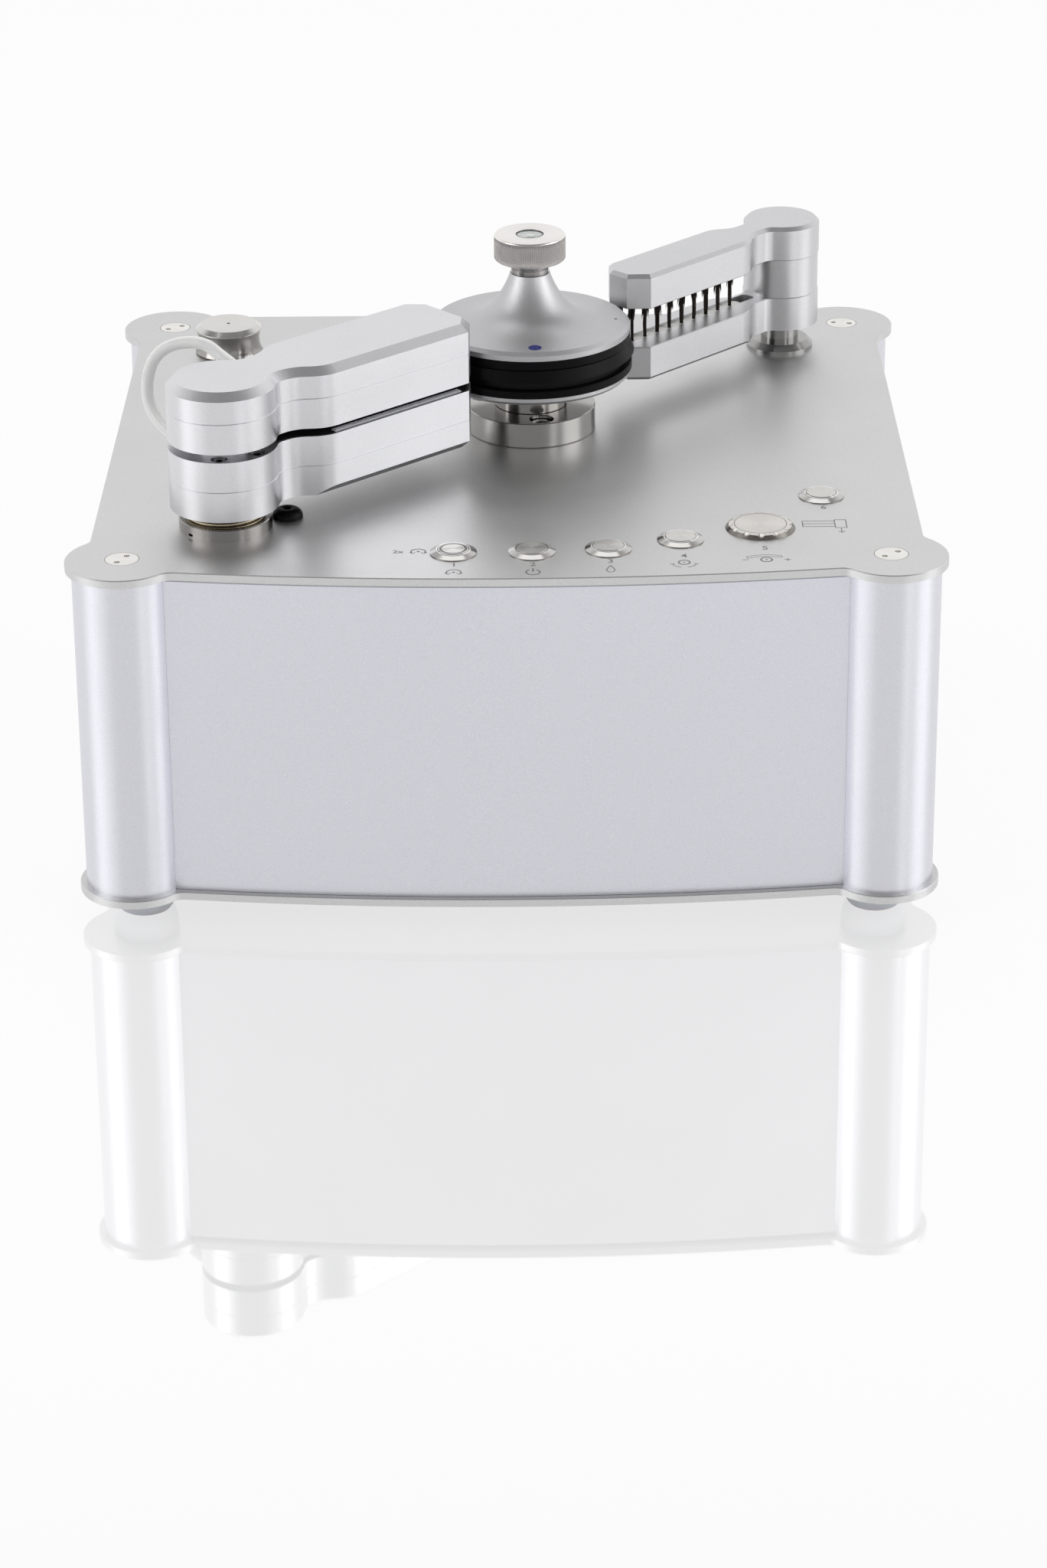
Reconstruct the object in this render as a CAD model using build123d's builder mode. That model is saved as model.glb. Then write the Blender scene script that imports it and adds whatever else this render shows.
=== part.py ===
from build123d import *
import os
from math import cos, hypot, radians, sin, sqrt, tan

os.makedirs("parts", exist_ok=True)

# A record cleaning machine: a box on four pillars with a platter, a clamp and two double arms.
# Millimetres. X runs to the right, Y to the rear, Z up. The origin is on the floor between the pillars.

# Fits
running_fit = 0.05  # radial, between a shaft and its bore
slip_gap = 0.1  # between faces that slide or are slid together
soft_gap = 0.3  # between a soft or free piece and its neighbour
edge_break = 0.4
seam_break = 0.25  # where two bolted shells meet

# Case
pillar_span_x = 360.0
pillar_span_y = 328.0
pillar_radius = 24.0
pillar_length = 161.8
plate_thickness = 4.0
plate_overhang = 3.0
foot_height = 12.6
side_step = 17.0  # from the pillar axes out to the straight sides of the plates
back_step = 17.0
front_step = 27.0  # from the pillar axes out to the middle of the curved front edge
front_rise = 11.3
front_inset = 15.0  # the curved front edge ends this far inside the pillar axes
lobe_blend = 7.0
panel_thickness = 4.0
panel_engagement = 6.0
panel_bevel = 1.8  # along the outer top edge, where the panel meets the top plate in a thin line

half_x = pillar_span_x / 2
half_y = pillar_span_y / 2
floor_plate = foot_height
body_bottom = floor_plate + plate_thickness
deck_under = body_bottom + pillar_length
deck_top = deck_under + plate_thickness
lobe_radius = pillar_radius + plate_overhang
side_edge = half_x + side_step
back_edge = half_y + back_step
front_edge = half_y + front_step
crown_half = half_x - front_inset
crown_radius = (crown_half**2 + front_rise**2) / (2 * front_rise)
pillar_spots = [(-half_x, -half_y), (half_x, -half_y), (-half_x, half_y), (half_x, half_y)]

# Fasteners of the case
cap_radius = 8.05
cap_height = 2.6
cap_pin_radius = 1.4
cap_pin_spread = 8.6
cap_turns = [62, 40, 35, -12]  # how far each cap was screwed home
rod_radius = 4.0
rod_length = 34.0
foot_top_radius = 15.5
foot_bottom_radius = 12.5
foot_inset = 3.5  # the feet stand this far inside the pillar axes, both ways
foot_screw_radius = 2.5
foot_screw_head = 4.6
foot_screw_head_height = 3.0
foot_screw_seat = 5.0  # from the floor up to the seat of the screw's head
foot_screw_bite = 20.0  # into the pillar

# Spindle, platter and clamp
spindle_x = 11.9
spindle_y = 9.6
base_radius = 32.5
base_height = 12.8
base_screw_circle_radius = 25.4
base_screw_first = -78
base_screw_count = 3
base_bore_radius = 6.1
base_bore_depth = 7.0
base_screw_head = 5.0
base_screw_radius = 3.0
bush_radius = 12.0
bush_drop = 15.2
bush_flange_radius = 18.0
bush_flange = 3.0
shaft_radius = 8.0
shaft_drop = 52.0
boss_radius = 18.3
disc_radius = 50.0
disc_bottom = 29.0
disc_thickness = 3.6
disc_bevel = 1.6
seal_lip = 1.0  # the seal reaches this far past the disc
seal_radius = disc_radius + seal_lip
seal_width = 11.0
seal_inner = seal_radius - seal_width
seal_thickness = 4.1
pad_inset = 2.5
pad_radius = disc_radius - pad_inset
pad_top = 41.8
pin_radius = 3.6  # takes the centre hole of a record
pin_top = 75.0
clamp_rim_radius = disc_radius  # both fit a record's label
clamp_bottom = 52.0
clamp_rim = 2.6
clamp_bevel = 1.8
clamp_neck_radius = 9.9
clamp_neck_top = 82.0
clamp_bore = 5.0
clamp_flare = [  # the trumpet's curve: shares of its width beyond the neck and of its rise above the bevel
    (1, 0),
    (0.76, 0.0234),
    (0.538, 0.082),
    (0.3315, 0.2305),
    (0.1645, 0.504),
    (0.06, 0.7734),
    (0, 1),
]
skirt_flare = 2.0
skirt_radius = clamp_rim_radius + skirt_flare
skirt_bottom = 41.4
skirt_wall = 1.0
rubber_band = 4.4  # height of the clamp's rubber above its groove
rubber_groove = 0.8
press_inset = 1.2  # the pressing face ends this far inside the pad's edge
knob_radius = 17.8
knob_bottom = 88.8
knob_top = 101.8
knob_chamfer = 0.9
collar_radius = 10.4
collar_waist = 9.5
collar_foot = 2.4
collar_rim = 1.6
stem_radius = 4.9
stem_bottom = 60.0
level_radius = 6.8
level_depth = 6.0
inlay_radius = 3.3
inlay_inset = 7.5
inlay_circle_radius = clamp_rim_radius - inlay_inset
inlay_angle = -87
inlay_depth = 2.4
vent_radius = 0.8
vent_inset = 7.2
vent_circle_radius = clamp_rim_radius - vent_inset

# Belt drive under the deck
motor_distance = 84.0
motor_radius = 18.5
motor_height = 46.0
motor_shaft_radius = 3.0
big_pulley_radius = 40.0
small_pulley_radius = 8.0
belt_width = 8.0
belt_thickness = 1.4
pulley_flange = 1.5
pulley_lip = 2.0
pulley_hub_wall = 4.0
pulley_top = 20.0  # below the deck's top face
motor_shaft_rise = 2.5
motor_shaft_bite = 16.0
motor_collar = 4.0
motor_post_circle_radius = 24.0
motor_post_radius = 2.6
platter_hub_reach = 3.0
small_hub_reach = 1.0

# Vacuum arm
vacuum_bearing = 42.115  # from the arm's pivot to the spindle
vacuum_angle = 42.6
vacuum_hub = 26.2
vacuum_length = 142.0
arm_clearance = 2.684  # from the arm's tip to the clamp's skirt, along the bearing
vacuum_front = 26.5
vacuum_back = 21.8
vacuum_neck_front = 17.0
vacuum_neck_back = 15.2
vacuum_neck_end = 31.0
vacuum_flare = 11.0
vacuum_rounding = 20.0  # where the flare meets the blade
vacuum_blend = 17.0  # where the neck meets the flare
vacuum_corner = 9.2
vacuum_bottom = 11.5
vacuum_shell = 15.0
vacuum_gap = 4.0
vacuum_chamfer = 3.8
arm_blend = 7.0
arm_float = 2.0  # travel of the arm up or down from rest
ring_radius = 22.3
ring_height = 5.9
ring_recess = 19.6
ring_floor = 2.6
sleeve_radius = 13.0
sleeve_drop = 22.0
tube_radius = 9.0
tube_bore = 6.0
tube_top = 68.0
tube_drop = 44.0
collar_height = 4.0
set_slot_length = 3.0
set_slot_width = 1.3
set_slot_z = 1.4
set_slot_angle = -134.5
spring_radius = 18.3
spring_wire = 0.95
spring_turns = 3.25
hub_spacer_radius = 13.0
hub_screw_circle_radius = 20.8
hub_screw_count = 5
hub_screw_first = -91  # round the hub, from the deck's right
hub_screw_sweep = 220
hub_screw_pocket = 4.0
hub_screw_head = 3.5
hub_screw_radius = 1.8
hub_screw_recess = 0.8
hub_screw_head_height = 3.6
hub_screw_bite = 8.0
duct_width = 22.0
duct_depth = 9.0
duct_start = 4.0
duct_margin = 12.0  # from the end of the duct to the end of the arm
port_radius = 3.5
slit_width = 3.0
slit_start = 50.0
arm_pad_inset = 1.4
arm_pad_thickness = 1.0
pile_width = 3.4
pile_height = 1.4
pile_inset = 1.8
pile_start = 47.0
pile_margin = 9.0  # from the end of the pile to the end of the arm
nozzle_radius = 1.85
nozzle_length = 6.4
nozzle_root = 1.4
hose_radius = 3.0
hose_bore = 2.0
hose_high_reach = 26.0  # along the arm to where the hose leaves the upper cover's rear wall
hose_high = 67.0
hose_low_angle = 135.0  # round the hub to where the hose comes back
hose_low = 35.0
hose_middle = [  # the points between the two walls, from the arm's axis, heights above the deck
    (0.3, 38.1, 69.5),
    (-12.8, 46.8, 77.7),
    (-35.6, 51.2, 71.0),
    (-41.0, 47.1, 47.7),
    (-29.1, 29.1, 35.4),
]
bend_share = 0.45  # of the shorter run beside a bend

# Brush arm
brush_x = 144.5
brush_y = 130.0
brush_angle = 226.0
brush_hub = 19.9
brush_length = 126.5
brush_half = 14.6
brush_neck = 8.1
brush_neck_end = 32.0
brush_flare = 9.0
brush_rounding = 16.0
brush_blend = 12.0
brush_corner = 8.6
brush_bottom = 14.5
brush_plate = 18.0
brush_spacer_height = 20.5
brush_spacer_radius = 19.5
brush_chamfer = 1.9
flange_radius = 17.5
flange_lip = 1.6
flange_top_radius = 14.6
flange_top = 4.6
column_radius = 9.9
spigot_radius = 7.0
spigot_top = 62.0
post_bore = 2.0
post_drop = 26.0
slot_width = 8.0
slot_depth = 8.0
slot_start = 22.5
slot_end = 125.0
slot_offset = -2.0
slot_corner = 2.6
strip_start = 31.0
strip_recess = 1.5
tuft_count = 10
tuft_first = 38.4
tuft_pitch = 9.4
tuft_root_radius = 0.8
tuft_tip_radius = 1.1
tuft_flare_radius = 1.5
tuft_meeting = 43.0
tuft_root_depth = 2.0

# Controls on the deck
bezel_radius = 11.1
bezel_lip = 0.5
bezel_bore = 7.6
bezel_top_radius = 8.35
bezel_height = 1.9
bezel_rim_break = 0.25
bezel_lip_depth = 1.5  # from the deck's top face down to the shoulder that stops the button
barrel_radius = 9.5
barrel_drop = 24.0
barrel_floor = 7.0  # from the deck's top face down to the switch inside the barrel
button_radius = 7.35
button_top = 2.15
button_shoulder = 8.4
button_shoulder_height = 2.6
button_stem = 3.0
button_stem_length = 8.0
button_spots = {
    "auto": (-25.0, -159.0),
    "power": (11.9, -158.6),
    "liquid": (47.8, -155.7),
    "platter": (82.1, -144.8),
    "vacuum": (152.1, -89.8),
}
dial_x = 120.5
dial_y = -130.3
dial_radius = 16.6
dial_brow_radius = 15.0
dial_line_radius = 12.45
dial_line_depth = 0.15
dial_brow = 2.0
dial_top = 2.2
dial_skirt = 0.2
dial_sink = 2.4
dial_scoops = 13
dial_scoop_first = -91.6  # one scoop faces the front
scoop_radius = 3.4
scoop_length = 12.0
scoop_circle_radius = 14.0
scoop_height = 5.4
scoop_tilt = 20.8
dial_shaft_radius = 3.0
dial_shaft_clear = 5.0
dial_body_radius = 12.0
dial_body_height = 14.0
dial_shaft_bite = 8.0

# Filler, grommet and the inside of the case
filler_x = -148.2
filler_y = 125.7
filler_radius = 17.4
filler_waist = 16.2
filler_height = 15.5
filler_brow_drop = 2.6
filler_foot_bevel = 0.7
filler_face_radius = 14.8
filler_base_radius = 17.8
filler_plug_radius = 11.0
filler_plug_drop = 14.0
filler_dimple = 0.9
filler_neck_wall = 3.0
tank_wall = 3.0
grommet_right = 28.9  # from the arm's axis
grommet_back = 10.5
grommet_radius = 7.4
grommet_height = 4.4
grommet_shoulder = 0.85, 0.75  # shares of the dome's radius and height
grommet_neck = 4.6
grommet_hole = 1.6
grommet_mouth = 2.4
grommet_flange = 2.0

waste_left_reach = 18.0  # from the arm's axis out to the tank's left side
waste_front_reach = 15.7
waste_right, waste_rear = -44.0, -10.0
waste_height = 112.0
waste_neck_gap = 12.4  # from the ring's sleeve down to the mouth of the tank's neck
waste_neck_wall = 3.0
drain_x = -60.0
drain_z = 30.0
drain_radius = 6.0
drain_bore = 4.0
drain_reach = 7.0  # beyond the rear panel's outer face
clean_left, clean_right = -182.0, -84.0
clean_front, clean_rear = 14.0, 138.0
clean_height = 118.0
turbine_spot = (96.0, 34.0)
turbine_radius = 58.0
turbine_height = 40.0
turbine_top_radius = 40.0
turbine_top = 62.0
turbine_rib = 2.0
pump_spot = (136.0, 124.0)
pump_width, pump_depth, pump_height = 44.0, 36.0, 58.0
riser_radius = 5.0
supply_spot = (28.0, -112.0)
supply_width, supply_depth, supply_height = 120.0, 62.0, 42.0
supply_foot = 4.0
board_spot = (56.0, -116.0)
board_width, board_depth, board_thickness = 168.0, 70.0, 1.6
board_drop = 44.0
board_post_radius = 3.0
board_post_inset = 6.0
chip_sizes = [(-50.0, 8.0, 26.0, 18.0, 4.0), (-8.0, -10.0, 18.0, 18.0, 3.0), (34.0, 10.0, 12.0, 30.0, 9.0)]
inlet_x = 120.0
inlet_z = 52.0
inlet_width = 48.0
inlet_height = 27.0
inlet_rim = 4.0
inlet_depth = 24.0
inlet_flange = 2.5
inlet_socket_width = 25.0
inlet_socket_height = 16.5
inlet_socket_depth = 16.0
inlet_pin_pitch = 7.0
inlet_pin_width = 2.0
inlet_pin_height = 4.0
inlet_pin_length = 12.0

vacuum_reach = vacuum_length + arm_clearance + skirt_radius
vacuum_x = spindle_x - vacuum_reach * cos(radians(vacuum_bearing))
vacuum_y = spindle_y - vacuum_reach * sin(radians(vacuum_bearing))
vacuum_spot = (vacuum_x, vacuum_y)
brush_spot = (brush_x, brush_y)
spindle_spot = (spindle_x, spindle_y)
dial_spot = (dial_x, dial_y)
filler_spot = (filler_x, filler_y)
grommet_spot = (vacuum_x + grommet_right, vacuum_y + grommet_back)
foot_share = 1 - foot_inset / half_x, 1 - foot_inset / half_y
foot_spots = [(x * foot_share[0], y * foot_share[1]) for x, y in pillar_spots]
lower_top = vacuum_bottom + 2 * vacuum_shell
upper_bottom = lower_top + vacuum_gap
brush_lower_top = brush_bottom + brush_plate
brush_upper_bottom = brush_lower_top + brush_spacer_height
disc_top = disc_bottom + disc_thickness
seal_top = disc_top + seal_thickness


# A level plane at a height above the deck, at a spot, turned about the vertical.
def level_plane(spot, height, turn=0.0):
    x_dir = (cos(radians(turn)), sin(radians(turn)), 0)
    return Plane(origin=(spot[0], spot[1], deck_top + height), x_dir=x_dir, z_dir=(0, 0, 1))


# An upright plane through a spot's vertical axis: local X is the radius, local Y the height above the deck.
def profile_plane(spot):
    return Plane(origin=(spot[0], spot[1], deck_top), x_dir=(1, 0, 0), z_dir=(0, -1, 0))


def axis_at(spot):
    return Axis((spot[0], spot[1], 0), (0, 0, 1))


# An upright plane that faces away from a spot's vertical axis at an angle, some way out from it.
def side_plane(spot, angle, distance, height):
    out = (cos(radians(angle)), sin(radians(angle)), 0)
    origin = (spot[0] + distance * out[0], spot[1] + distance * out[1], deck_top + height)
    return Plane(origin=origin, x_dir=(0, 0, 1), z_dir=out)


# A solid turned about a spot's vertical axis from a closed outline of (radius, height) points.
def turned(spot, points):
    with BuildPart() as made:
        with BuildSketch(profile_plane(spot)):
            with BuildLine():
                Polyline(*points, close=True)
            make_face()
        revolve(axis=axis_at(spot))
    return made.part


# The front edge's place at x, for a line that runs inset behind it.
def front_y(x, inset):
    radius = crown_radius - inset
    return -(front_edge - inset) + radius - sqrt(radius**2 - x**2)


def keep(name, part):
    part.label = name
    export_step(part, f"parts/{name}.step")


# Plates: a box with a curved front, round lobes over the pillars and blended inner corners.
def plate_outline(z):
    corner_y = front_y(crown_half, 0)
    with BuildSketch(Plane.XY.offset(z)) as outline:
        with BuildLine():
            ThreePointArc((-crown_half, corner_y), (0, front_y(0, 0)), (crown_half, corner_y))
            Polyline(
                (crown_half, corner_y),
                (side_edge, corner_y),
                (side_edge, back_edge),
                (-side_edge, back_edge),
                (-side_edge, corner_y),
                (-crown_half, corner_y),
            )
        make_face()
        with Locations(*pillar_spots):
            Circle(lobe_radius)
        on_lobe = [
            v
            for v in outline.vertices()
            if any(abs(hypot(v.X - x, v.Y - y) - lobe_radius) < 0.01 for x, y in pillar_spots)
            and abs(v.X) < side_edge + 0.01
        ]
        fillet(on_lobe, lobe_blend)
    return outline.sketch


belt_run = (motor_distance, 0)
motor_spot = (spindle_x + belt_run[0], spindle_y + belt_run[1])

with BuildPart() as top_plate:
    extrude(plate_outline(deck_under), amount=plate_thickness)
    chamfer(top_plate.faces().sort_by(Axis.Z)[-1].edges(), edge_break)
    with Locations(*[Location((x, y, deck_top)) for x, y in pillar_spots]):
        CounterBoreHole(rod_radius + slip_gap, cap_radius + slip_gap, cap_height)
    with Locations((spindle_x, spindle_y, deck_top)):
        Hole(bush_radius + running_fit)
        with PolarLocations(base_screw_circle_radius, base_screw_count, base_screw_first):
            Hole(base_screw_radius + running_fit)
    with Locations((vacuum_x, vacuum_y, deck_top)):
        Hole(sleeve_radius + running_fit)
    with Locations((brush_x, brush_y, deck_top)):
        Hole(column_radius + running_fit)
    with Locations((filler_x, filler_y, deck_top)):
        Hole(filler_plug_radius + filler_neck_wall + 2 * running_fit)
    with Locations((*grommet_spot, deck_top)):
        Hole(grommet_neck + running_fit)
    with Locations(*[Location((x, y, deck_top)) for x, y in button_spots.values()]):
        Hole(barrel_radius + slip_gap)
    with Locations((dial_x, dial_y, deck_top)):
        CounterBoreHole(dial_shaft_clear, dial_radius + slip_gap, dial_sink + slip_gap)
keep("top_plate", top_plate.part)

with BuildPart() as bottom_plate:
    extrude(plate_outline(floor_plate), amount=plate_thickness)
    chamfer(bottom_plate.faces().sort_by(Axis.Z)[-1].edges(), edge_break)
    with Locations(*[Location((x, y, body_bottom)) for x, y in foot_spots]):
        Hole(foot_screw_radius + running_fit)
keep("bottom_plate", bottom_plate.part)


# The strip of the curved front panel from a height up or, made larger all round by grow, of its groove.
def front_strip(z, grow=0.0):
    near = plate_overhang - grow
    far = plate_overhang + panel_thickness + grow
    step = half_y + front_y(crown_half, near)
    reach = half_x - sqrt(pillar_radius**2 - step**2) + panel_engagement + grow
    end_near = front_y(reach, near)
    end_far = front_y(reach, far)
    with BuildSketch(Plane.XY.offset(z)) as strip:
        with BuildLine():
            outer = ThreePointArc((-reach, end_near), (0, front_y(0, near)), (reach, end_near))
            inner = ThreePointArc((-reach, end_far), (0, front_y(0, far)), (reach, end_far))
            Line(outer @ 0, inner @ 0)
            Line(outer @ 1, inner @ 1)
        make_face()
    return strip.sketch


# How far a straight panel's strip runs from its middle into the pillars at both ends.
def strip_reach(half_span, step, grow):
    return half_span - sqrt(pillar_radius**2 - (step - plate_overhang) ** 2) + panel_engagement + grow


def right_strip(z, grow=0.0):
    with BuildSketch(Plane.XY.offset(z)) as strip:
        with Locations((side_edge - plate_overhang - panel_thickness / 2, 0)):
            Rectangle(panel_thickness + 2 * grow, 2 * strip_reach(half_y, side_step, grow))
    return strip.sketch


def rear_strip(z, grow=0.0):
    with BuildSketch(Plane.XY.offset(z)) as strip:
        with Locations((0, back_edge - plate_overhang - panel_thickness / 2)):
            Rectangle(2 * strip_reach(half_x, back_step, grow), panel_thickness + 2 * grow)
    return strip.sketch


panel_bottom = body_bottom + slip_gap
panel_height = pillar_length - 2 * slip_gap

with BuildPart() as front_panel:
    extrude(front_strip(panel_bottom), amount=panel_height)
    chamfer(front_panel.faces().sort_by(Axis.Z)[-1].edges().sort_by(Axis.Y)[0], panel_bevel)
keep("front_panel", front_panel.part)

with BuildPart() as side_panels:
    extrude(right_strip(panel_bottom), amount=panel_height)
    chamfer(side_panels.faces().sort_by(Axis.Z)[-1].edges().sort_by(Axis.X)[-1], panel_bevel)
    mirror(about=Plane.YZ)
keep("side_panels", side_panels.part)

rear_face = back_edge - plate_overhang
rear_plane = Plane(origin=(0, rear_face, 0), x_dir=(1, 0, 0), z_dir=(0, -1, 0))
vent_slots = 9
vent_pitch = 6.0
vent_length = 60.0
vent_width = 2.6
vent_z = 110.0

with BuildPart() as rear_panel:
    extrude(rear_strip(panel_bottom), amount=panel_height)
    chamfer(rear_panel.faces().sort_by(Axis.Z)[-1].edges().sort_by(Axis.Y)[-1], panel_bevel)
    with BuildSketch(rear_plane):
        with Locations((inlet_x, inlet_z)):
            Rectangle(inlet_width - 2 * inlet_rim + 2 * slip_gap, inlet_height - 2 * inlet_rim + 2 * slip_gap)
        with Locations((drain_x, drain_z)):
            Circle(drain_radius + slip_gap)
        with Locations((0, vent_z)):
            with GridLocations(0, vent_pitch, 1, vent_slots):
                SlotOverall(vent_length, vent_width)
    extrude(amount=panel_thickness, mode=Mode.SUBTRACT)
keep("rear_panel", rear_panel.part)

with BuildPart() as pillars:
    with BuildSketch(Plane.XY.offset(body_bottom)):
        with Locations(*pillar_spots):
            Circle(pillar_radius)
    extrude(amount=pillar_length)
    for strip in (front_strip, rear_strip, right_strip):
        extrude(strip(body_bottom, slip_gap), amount=pillar_length, mode=Mode.SUBTRACT)
    extrude(right_strip(body_bottom, slip_gap).mirror(Plane.YZ), amount=pillar_length, mode=Mode.SUBTRACT)
    with Locations(*[Location((x, y, deck_under)) for x, y in pillar_spots]):
        Hole(rod_radius + running_fit, depth=rod_length)
    with Locations(*[Location((x, y, body_bottom), (180, 0, 0)) for x, y in foot_spots]):
        Hole(foot_screw_radius + running_fit, depth=foot_screw_bite + slip_gap)
keep("pillars", pillars.part)

# Each cap screw sinks flush into the top plate and has two holes for a pin spanner.
with BuildPart() as cap_screws:
    for spot, turn in zip(pillar_spots, cap_turns):
        with BuildSketch(level_plane(spot, 0, turn)):
            Circle(cap_radius)
        extrude(amount=-cap_height)
        with BuildSketch(level_plane(spot, -cap_height)):
            Circle(rod_radius)
        extrude(amount=cap_height - rod_length)
        with BuildSketch(level_plane(spot, 0, turn)):
            with GridLocations(cap_pin_spread, 0, 2, 1):
                Circle(cap_pin_radius)
        extrude(amount=-cap_height / 2, mode=Mode.SUBTRACT)
keep("cap_screws", cap_screws.part)

foot_belly_height = 5.6
foot_belly_radius = 15.2
foot_screw_hole = foot_screw_radius + running_fit
foot_head_hole = foot_screw_head + slip_gap

with BuildPart() as feet:
    for x, y in foot_spots:
        with BuildSketch(Plane(origin=(x, y, 0), x_dir=(1, 0, 0), z_dir=(0, -1, 0))):
            with BuildLine():
                ThreePointArc(
                    (foot_bottom_radius, 0),
                    (foot_belly_radius, foot_belly_height),
                    (foot_top_radius, foot_height),
                )
                Polyline(
                    (foot_top_radius, foot_height),
                    (foot_screw_hole, foot_height),
                    (foot_screw_hole, foot_screw_seat),
                    (foot_head_hole, foot_screw_seat),
                    (foot_head_hole, 0),
                    (foot_bottom_radius, 0),
                )
            make_face()
        revolve(axis=axis_at((x, y)))
keep("feet", feet.part)

with BuildPart() as foot_screws:
    with BuildSketch(Plane.XY.offset(foot_screw_seat)):
        with Locations(*foot_spots):
            Circle(foot_screw_head)
    extrude(amount=-foot_screw_head_height)
    with BuildSketch(Plane.XY.offset(foot_screw_seat)):
        with Locations(*foot_spots):
            Circle(foot_screw_radius)
    extrude(amount=body_bottom - foot_screw_seat + foot_screw_bite)
    with BuildSketch(Plane.XY.offset(foot_screw_seat - foot_screw_head_height)):
        with Locations(*foot_spots):
            RegularPolygon(foot_screw_radius, 6)
    extrude(amount=foot_screw_head_height / 2, mode=Mode.SUBTRACT)
keep("foot_screws", foot_screws.part)

# Spindle base: a steel ring bolted to the deck around the bearing bush.
with BuildPart() as spindle_base:
    with BuildSketch(level_plane(spindle_spot, 0)):
        Circle(base_radius)
        Circle(bush_radius + running_fit, mode=Mode.SUBTRACT)
    extrude(amount=base_height)
    chamfer(spindle_base.edges().filter_by(GeomType.CIRCLE).group_by(SortBy.RADIUS)[-1], edge_break)
    with Locations((spindle_x, spindle_y, deck_top + base_height)):
        with PolarLocations(base_screw_circle_radius, base_screw_count, base_screw_first):
            CounterBoreHole(base_screw_radius + running_fit, base_bore_radius, base_bore_depth)
keep("spindle_base", spindle_base.part)

base_screw_plane = level_plane(spindle_spot, base_height - base_bore_depth)
with BuildPart() as base_screws:
    with BuildSketch(base_screw_plane):
        with PolarLocations(base_screw_circle_radius, base_screw_count, base_screw_first):
            Circle(base_screw_head)
    extrude(amount=base_screw_head)
    with BuildSketch(base_screw_plane):
        with PolarLocations(base_screw_circle_radius, base_screw_count, base_screw_first):
            Circle(base_screw_radius)
    extrude(amount=base_bore_depth - base_height - plate_thickness)
    with BuildSketch(base_screw_plane.offset(base_screw_head)):
        with PolarLocations(base_screw_circle_radius, base_screw_count, base_screw_first):
            RegularPolygon(base_screw_radius, 6)
    extrude(amount=-base_screw_head / 2, mode=Mode.SUBTRACT)
keep("base_screws", base_screws.part)

flange_seat = -plate_thickness - slip_gap
spindle_bush = turned(
    spindle_spot,
    [
        (shaft_radius + running_fit, base_height),
        (bush_radius, base_height),
        (bush_radius, flange_seat),
        (bush_flange_radius, flange_seat),
        (bush_flange_radius, flange_seat - bush_flange),
        (bush_radius, flange_seat - bush_flange),
        (bush_radius, -bush_drop),
        (shaft_radius + running_fit, -bush_drop),
    ],
)
keep("spindle_bush", spindle_bush)

boss_bottom = base_height + soft_gap
platter_shaft = turned(
    spindle_spot,
    [
        (0, -shaft_drop),
        (shaft_radius, -shaft_drop),
        (shaft_radius, boss_bottom),
        (boss_radius, boss_bottom),
        (boss_radius, disc_bottom),
        (shaft_radius, disc_bottom),
        (shaft_radius, disc_top),
        (pin_radius, disc_top),
        (pin_radius, pin_top - pin_radius / 2),
        (pin_radius / 2, pin_top),
        (0, pin_top),
    ],
)
keep("platter_shaft", platter_shaft)

platter_disc = turned(
    spindle_spot,
    [
        (shaft_radius, disc_bottom),
        (disc_radius - disc_bevel, disc_bottom),
        (disc_radius, disc_bottom + disc_bevel),
        (disc_radius, disc_top),
        (shaft_radius, disc_top),
    ],
)
keep("platter_disc", platter_disc)

platter_seal = turned(
    spindle_spot,
    [
        (seal_inner, disc_top),
        (seal_radius - edge_break, disc_top),
        (seal_radius, disc_top + edge_break),
        (seal_radius, seal_top - edge_break),
        (seal_radius - edge_break, seal_top),
        (seal_inner, seal_top),
    ],
)
keep("platter_seal", platter_seal)

record_pad = turned(
    spindle_spot,
    [
        (pin_radius, disc_top),
        (seal_inner, disc_top),
        (seal_inner, seal_top),
        (pad_radius, seal_top),
        (pad_radius, pad_top - edge_break),
        (pad_radius - edge_break, pad_top),
        (pin_radius, pad_top),
    ],
)
keep("record_pad", record_pad)

# Clamp: a trumpet-shaped cover over a rubber body whose skirt closes over the record's label.
bevel_top = clamp_bottom + clamp_rim + clamp_bevel
cover_width = clamp_rim_radius - clamp_bevel - clamp_neck_radius
cover_rise = clamp_neck_top - bevel_top
trumpet = [(clamp_neck_radius + out * cover_width, bevel_top + up * cover_rise) for out, up in clamp_flare]
with BuildPart() as clamp_cover:
    with BuildSketch(profile_plane(spindle_spot)):
        with BuildLine():
            Polyline(
                (clamp_neck_radius, clamp_neck_top),
                (clamp_bore, clamp_neck_top),
                (clamp_bore, clamp_bottom),
                (clamp_rim_radius, clamp_bottom),
                (clamp_rim_radius, clamp_bottom + clamp_rim),
                (clamp_rim_radius - clamp_bevel, bevel_top),
            )
            Spline(*trumpet)
        make_face()
    revolve(axis=axis_at(spindle_spot))
with BuildPart() as clamp_inlay:
    add(clamp_cover.part)
    inlay_plane = level_plane(spindle_spot, bevel_top - inlay_depth)
    with BuildSketch(inlay_plane):
        with PolarLocations(inlay_circle_radius, 1, inlay_angle):
            Circle(inlay_radius)
    extrude(amount=2 * inlay_depth, mode=Mode.INTERSECT)
with BuildPart() as clamp_body:
    add(clamp_cover.part)
    with BuildSketch(inlay_plane):
        with PolarLocations(inlay_circle_radius, 1, inlay_angle):
            Circle(inlay_radius)
        with PolarLocations(vent_circle_radius, 1, 0):
            Circle(vent_radius)
    extrude(amount=2 * inlay_depth, mode=Mode.SUBTRACT)
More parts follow.
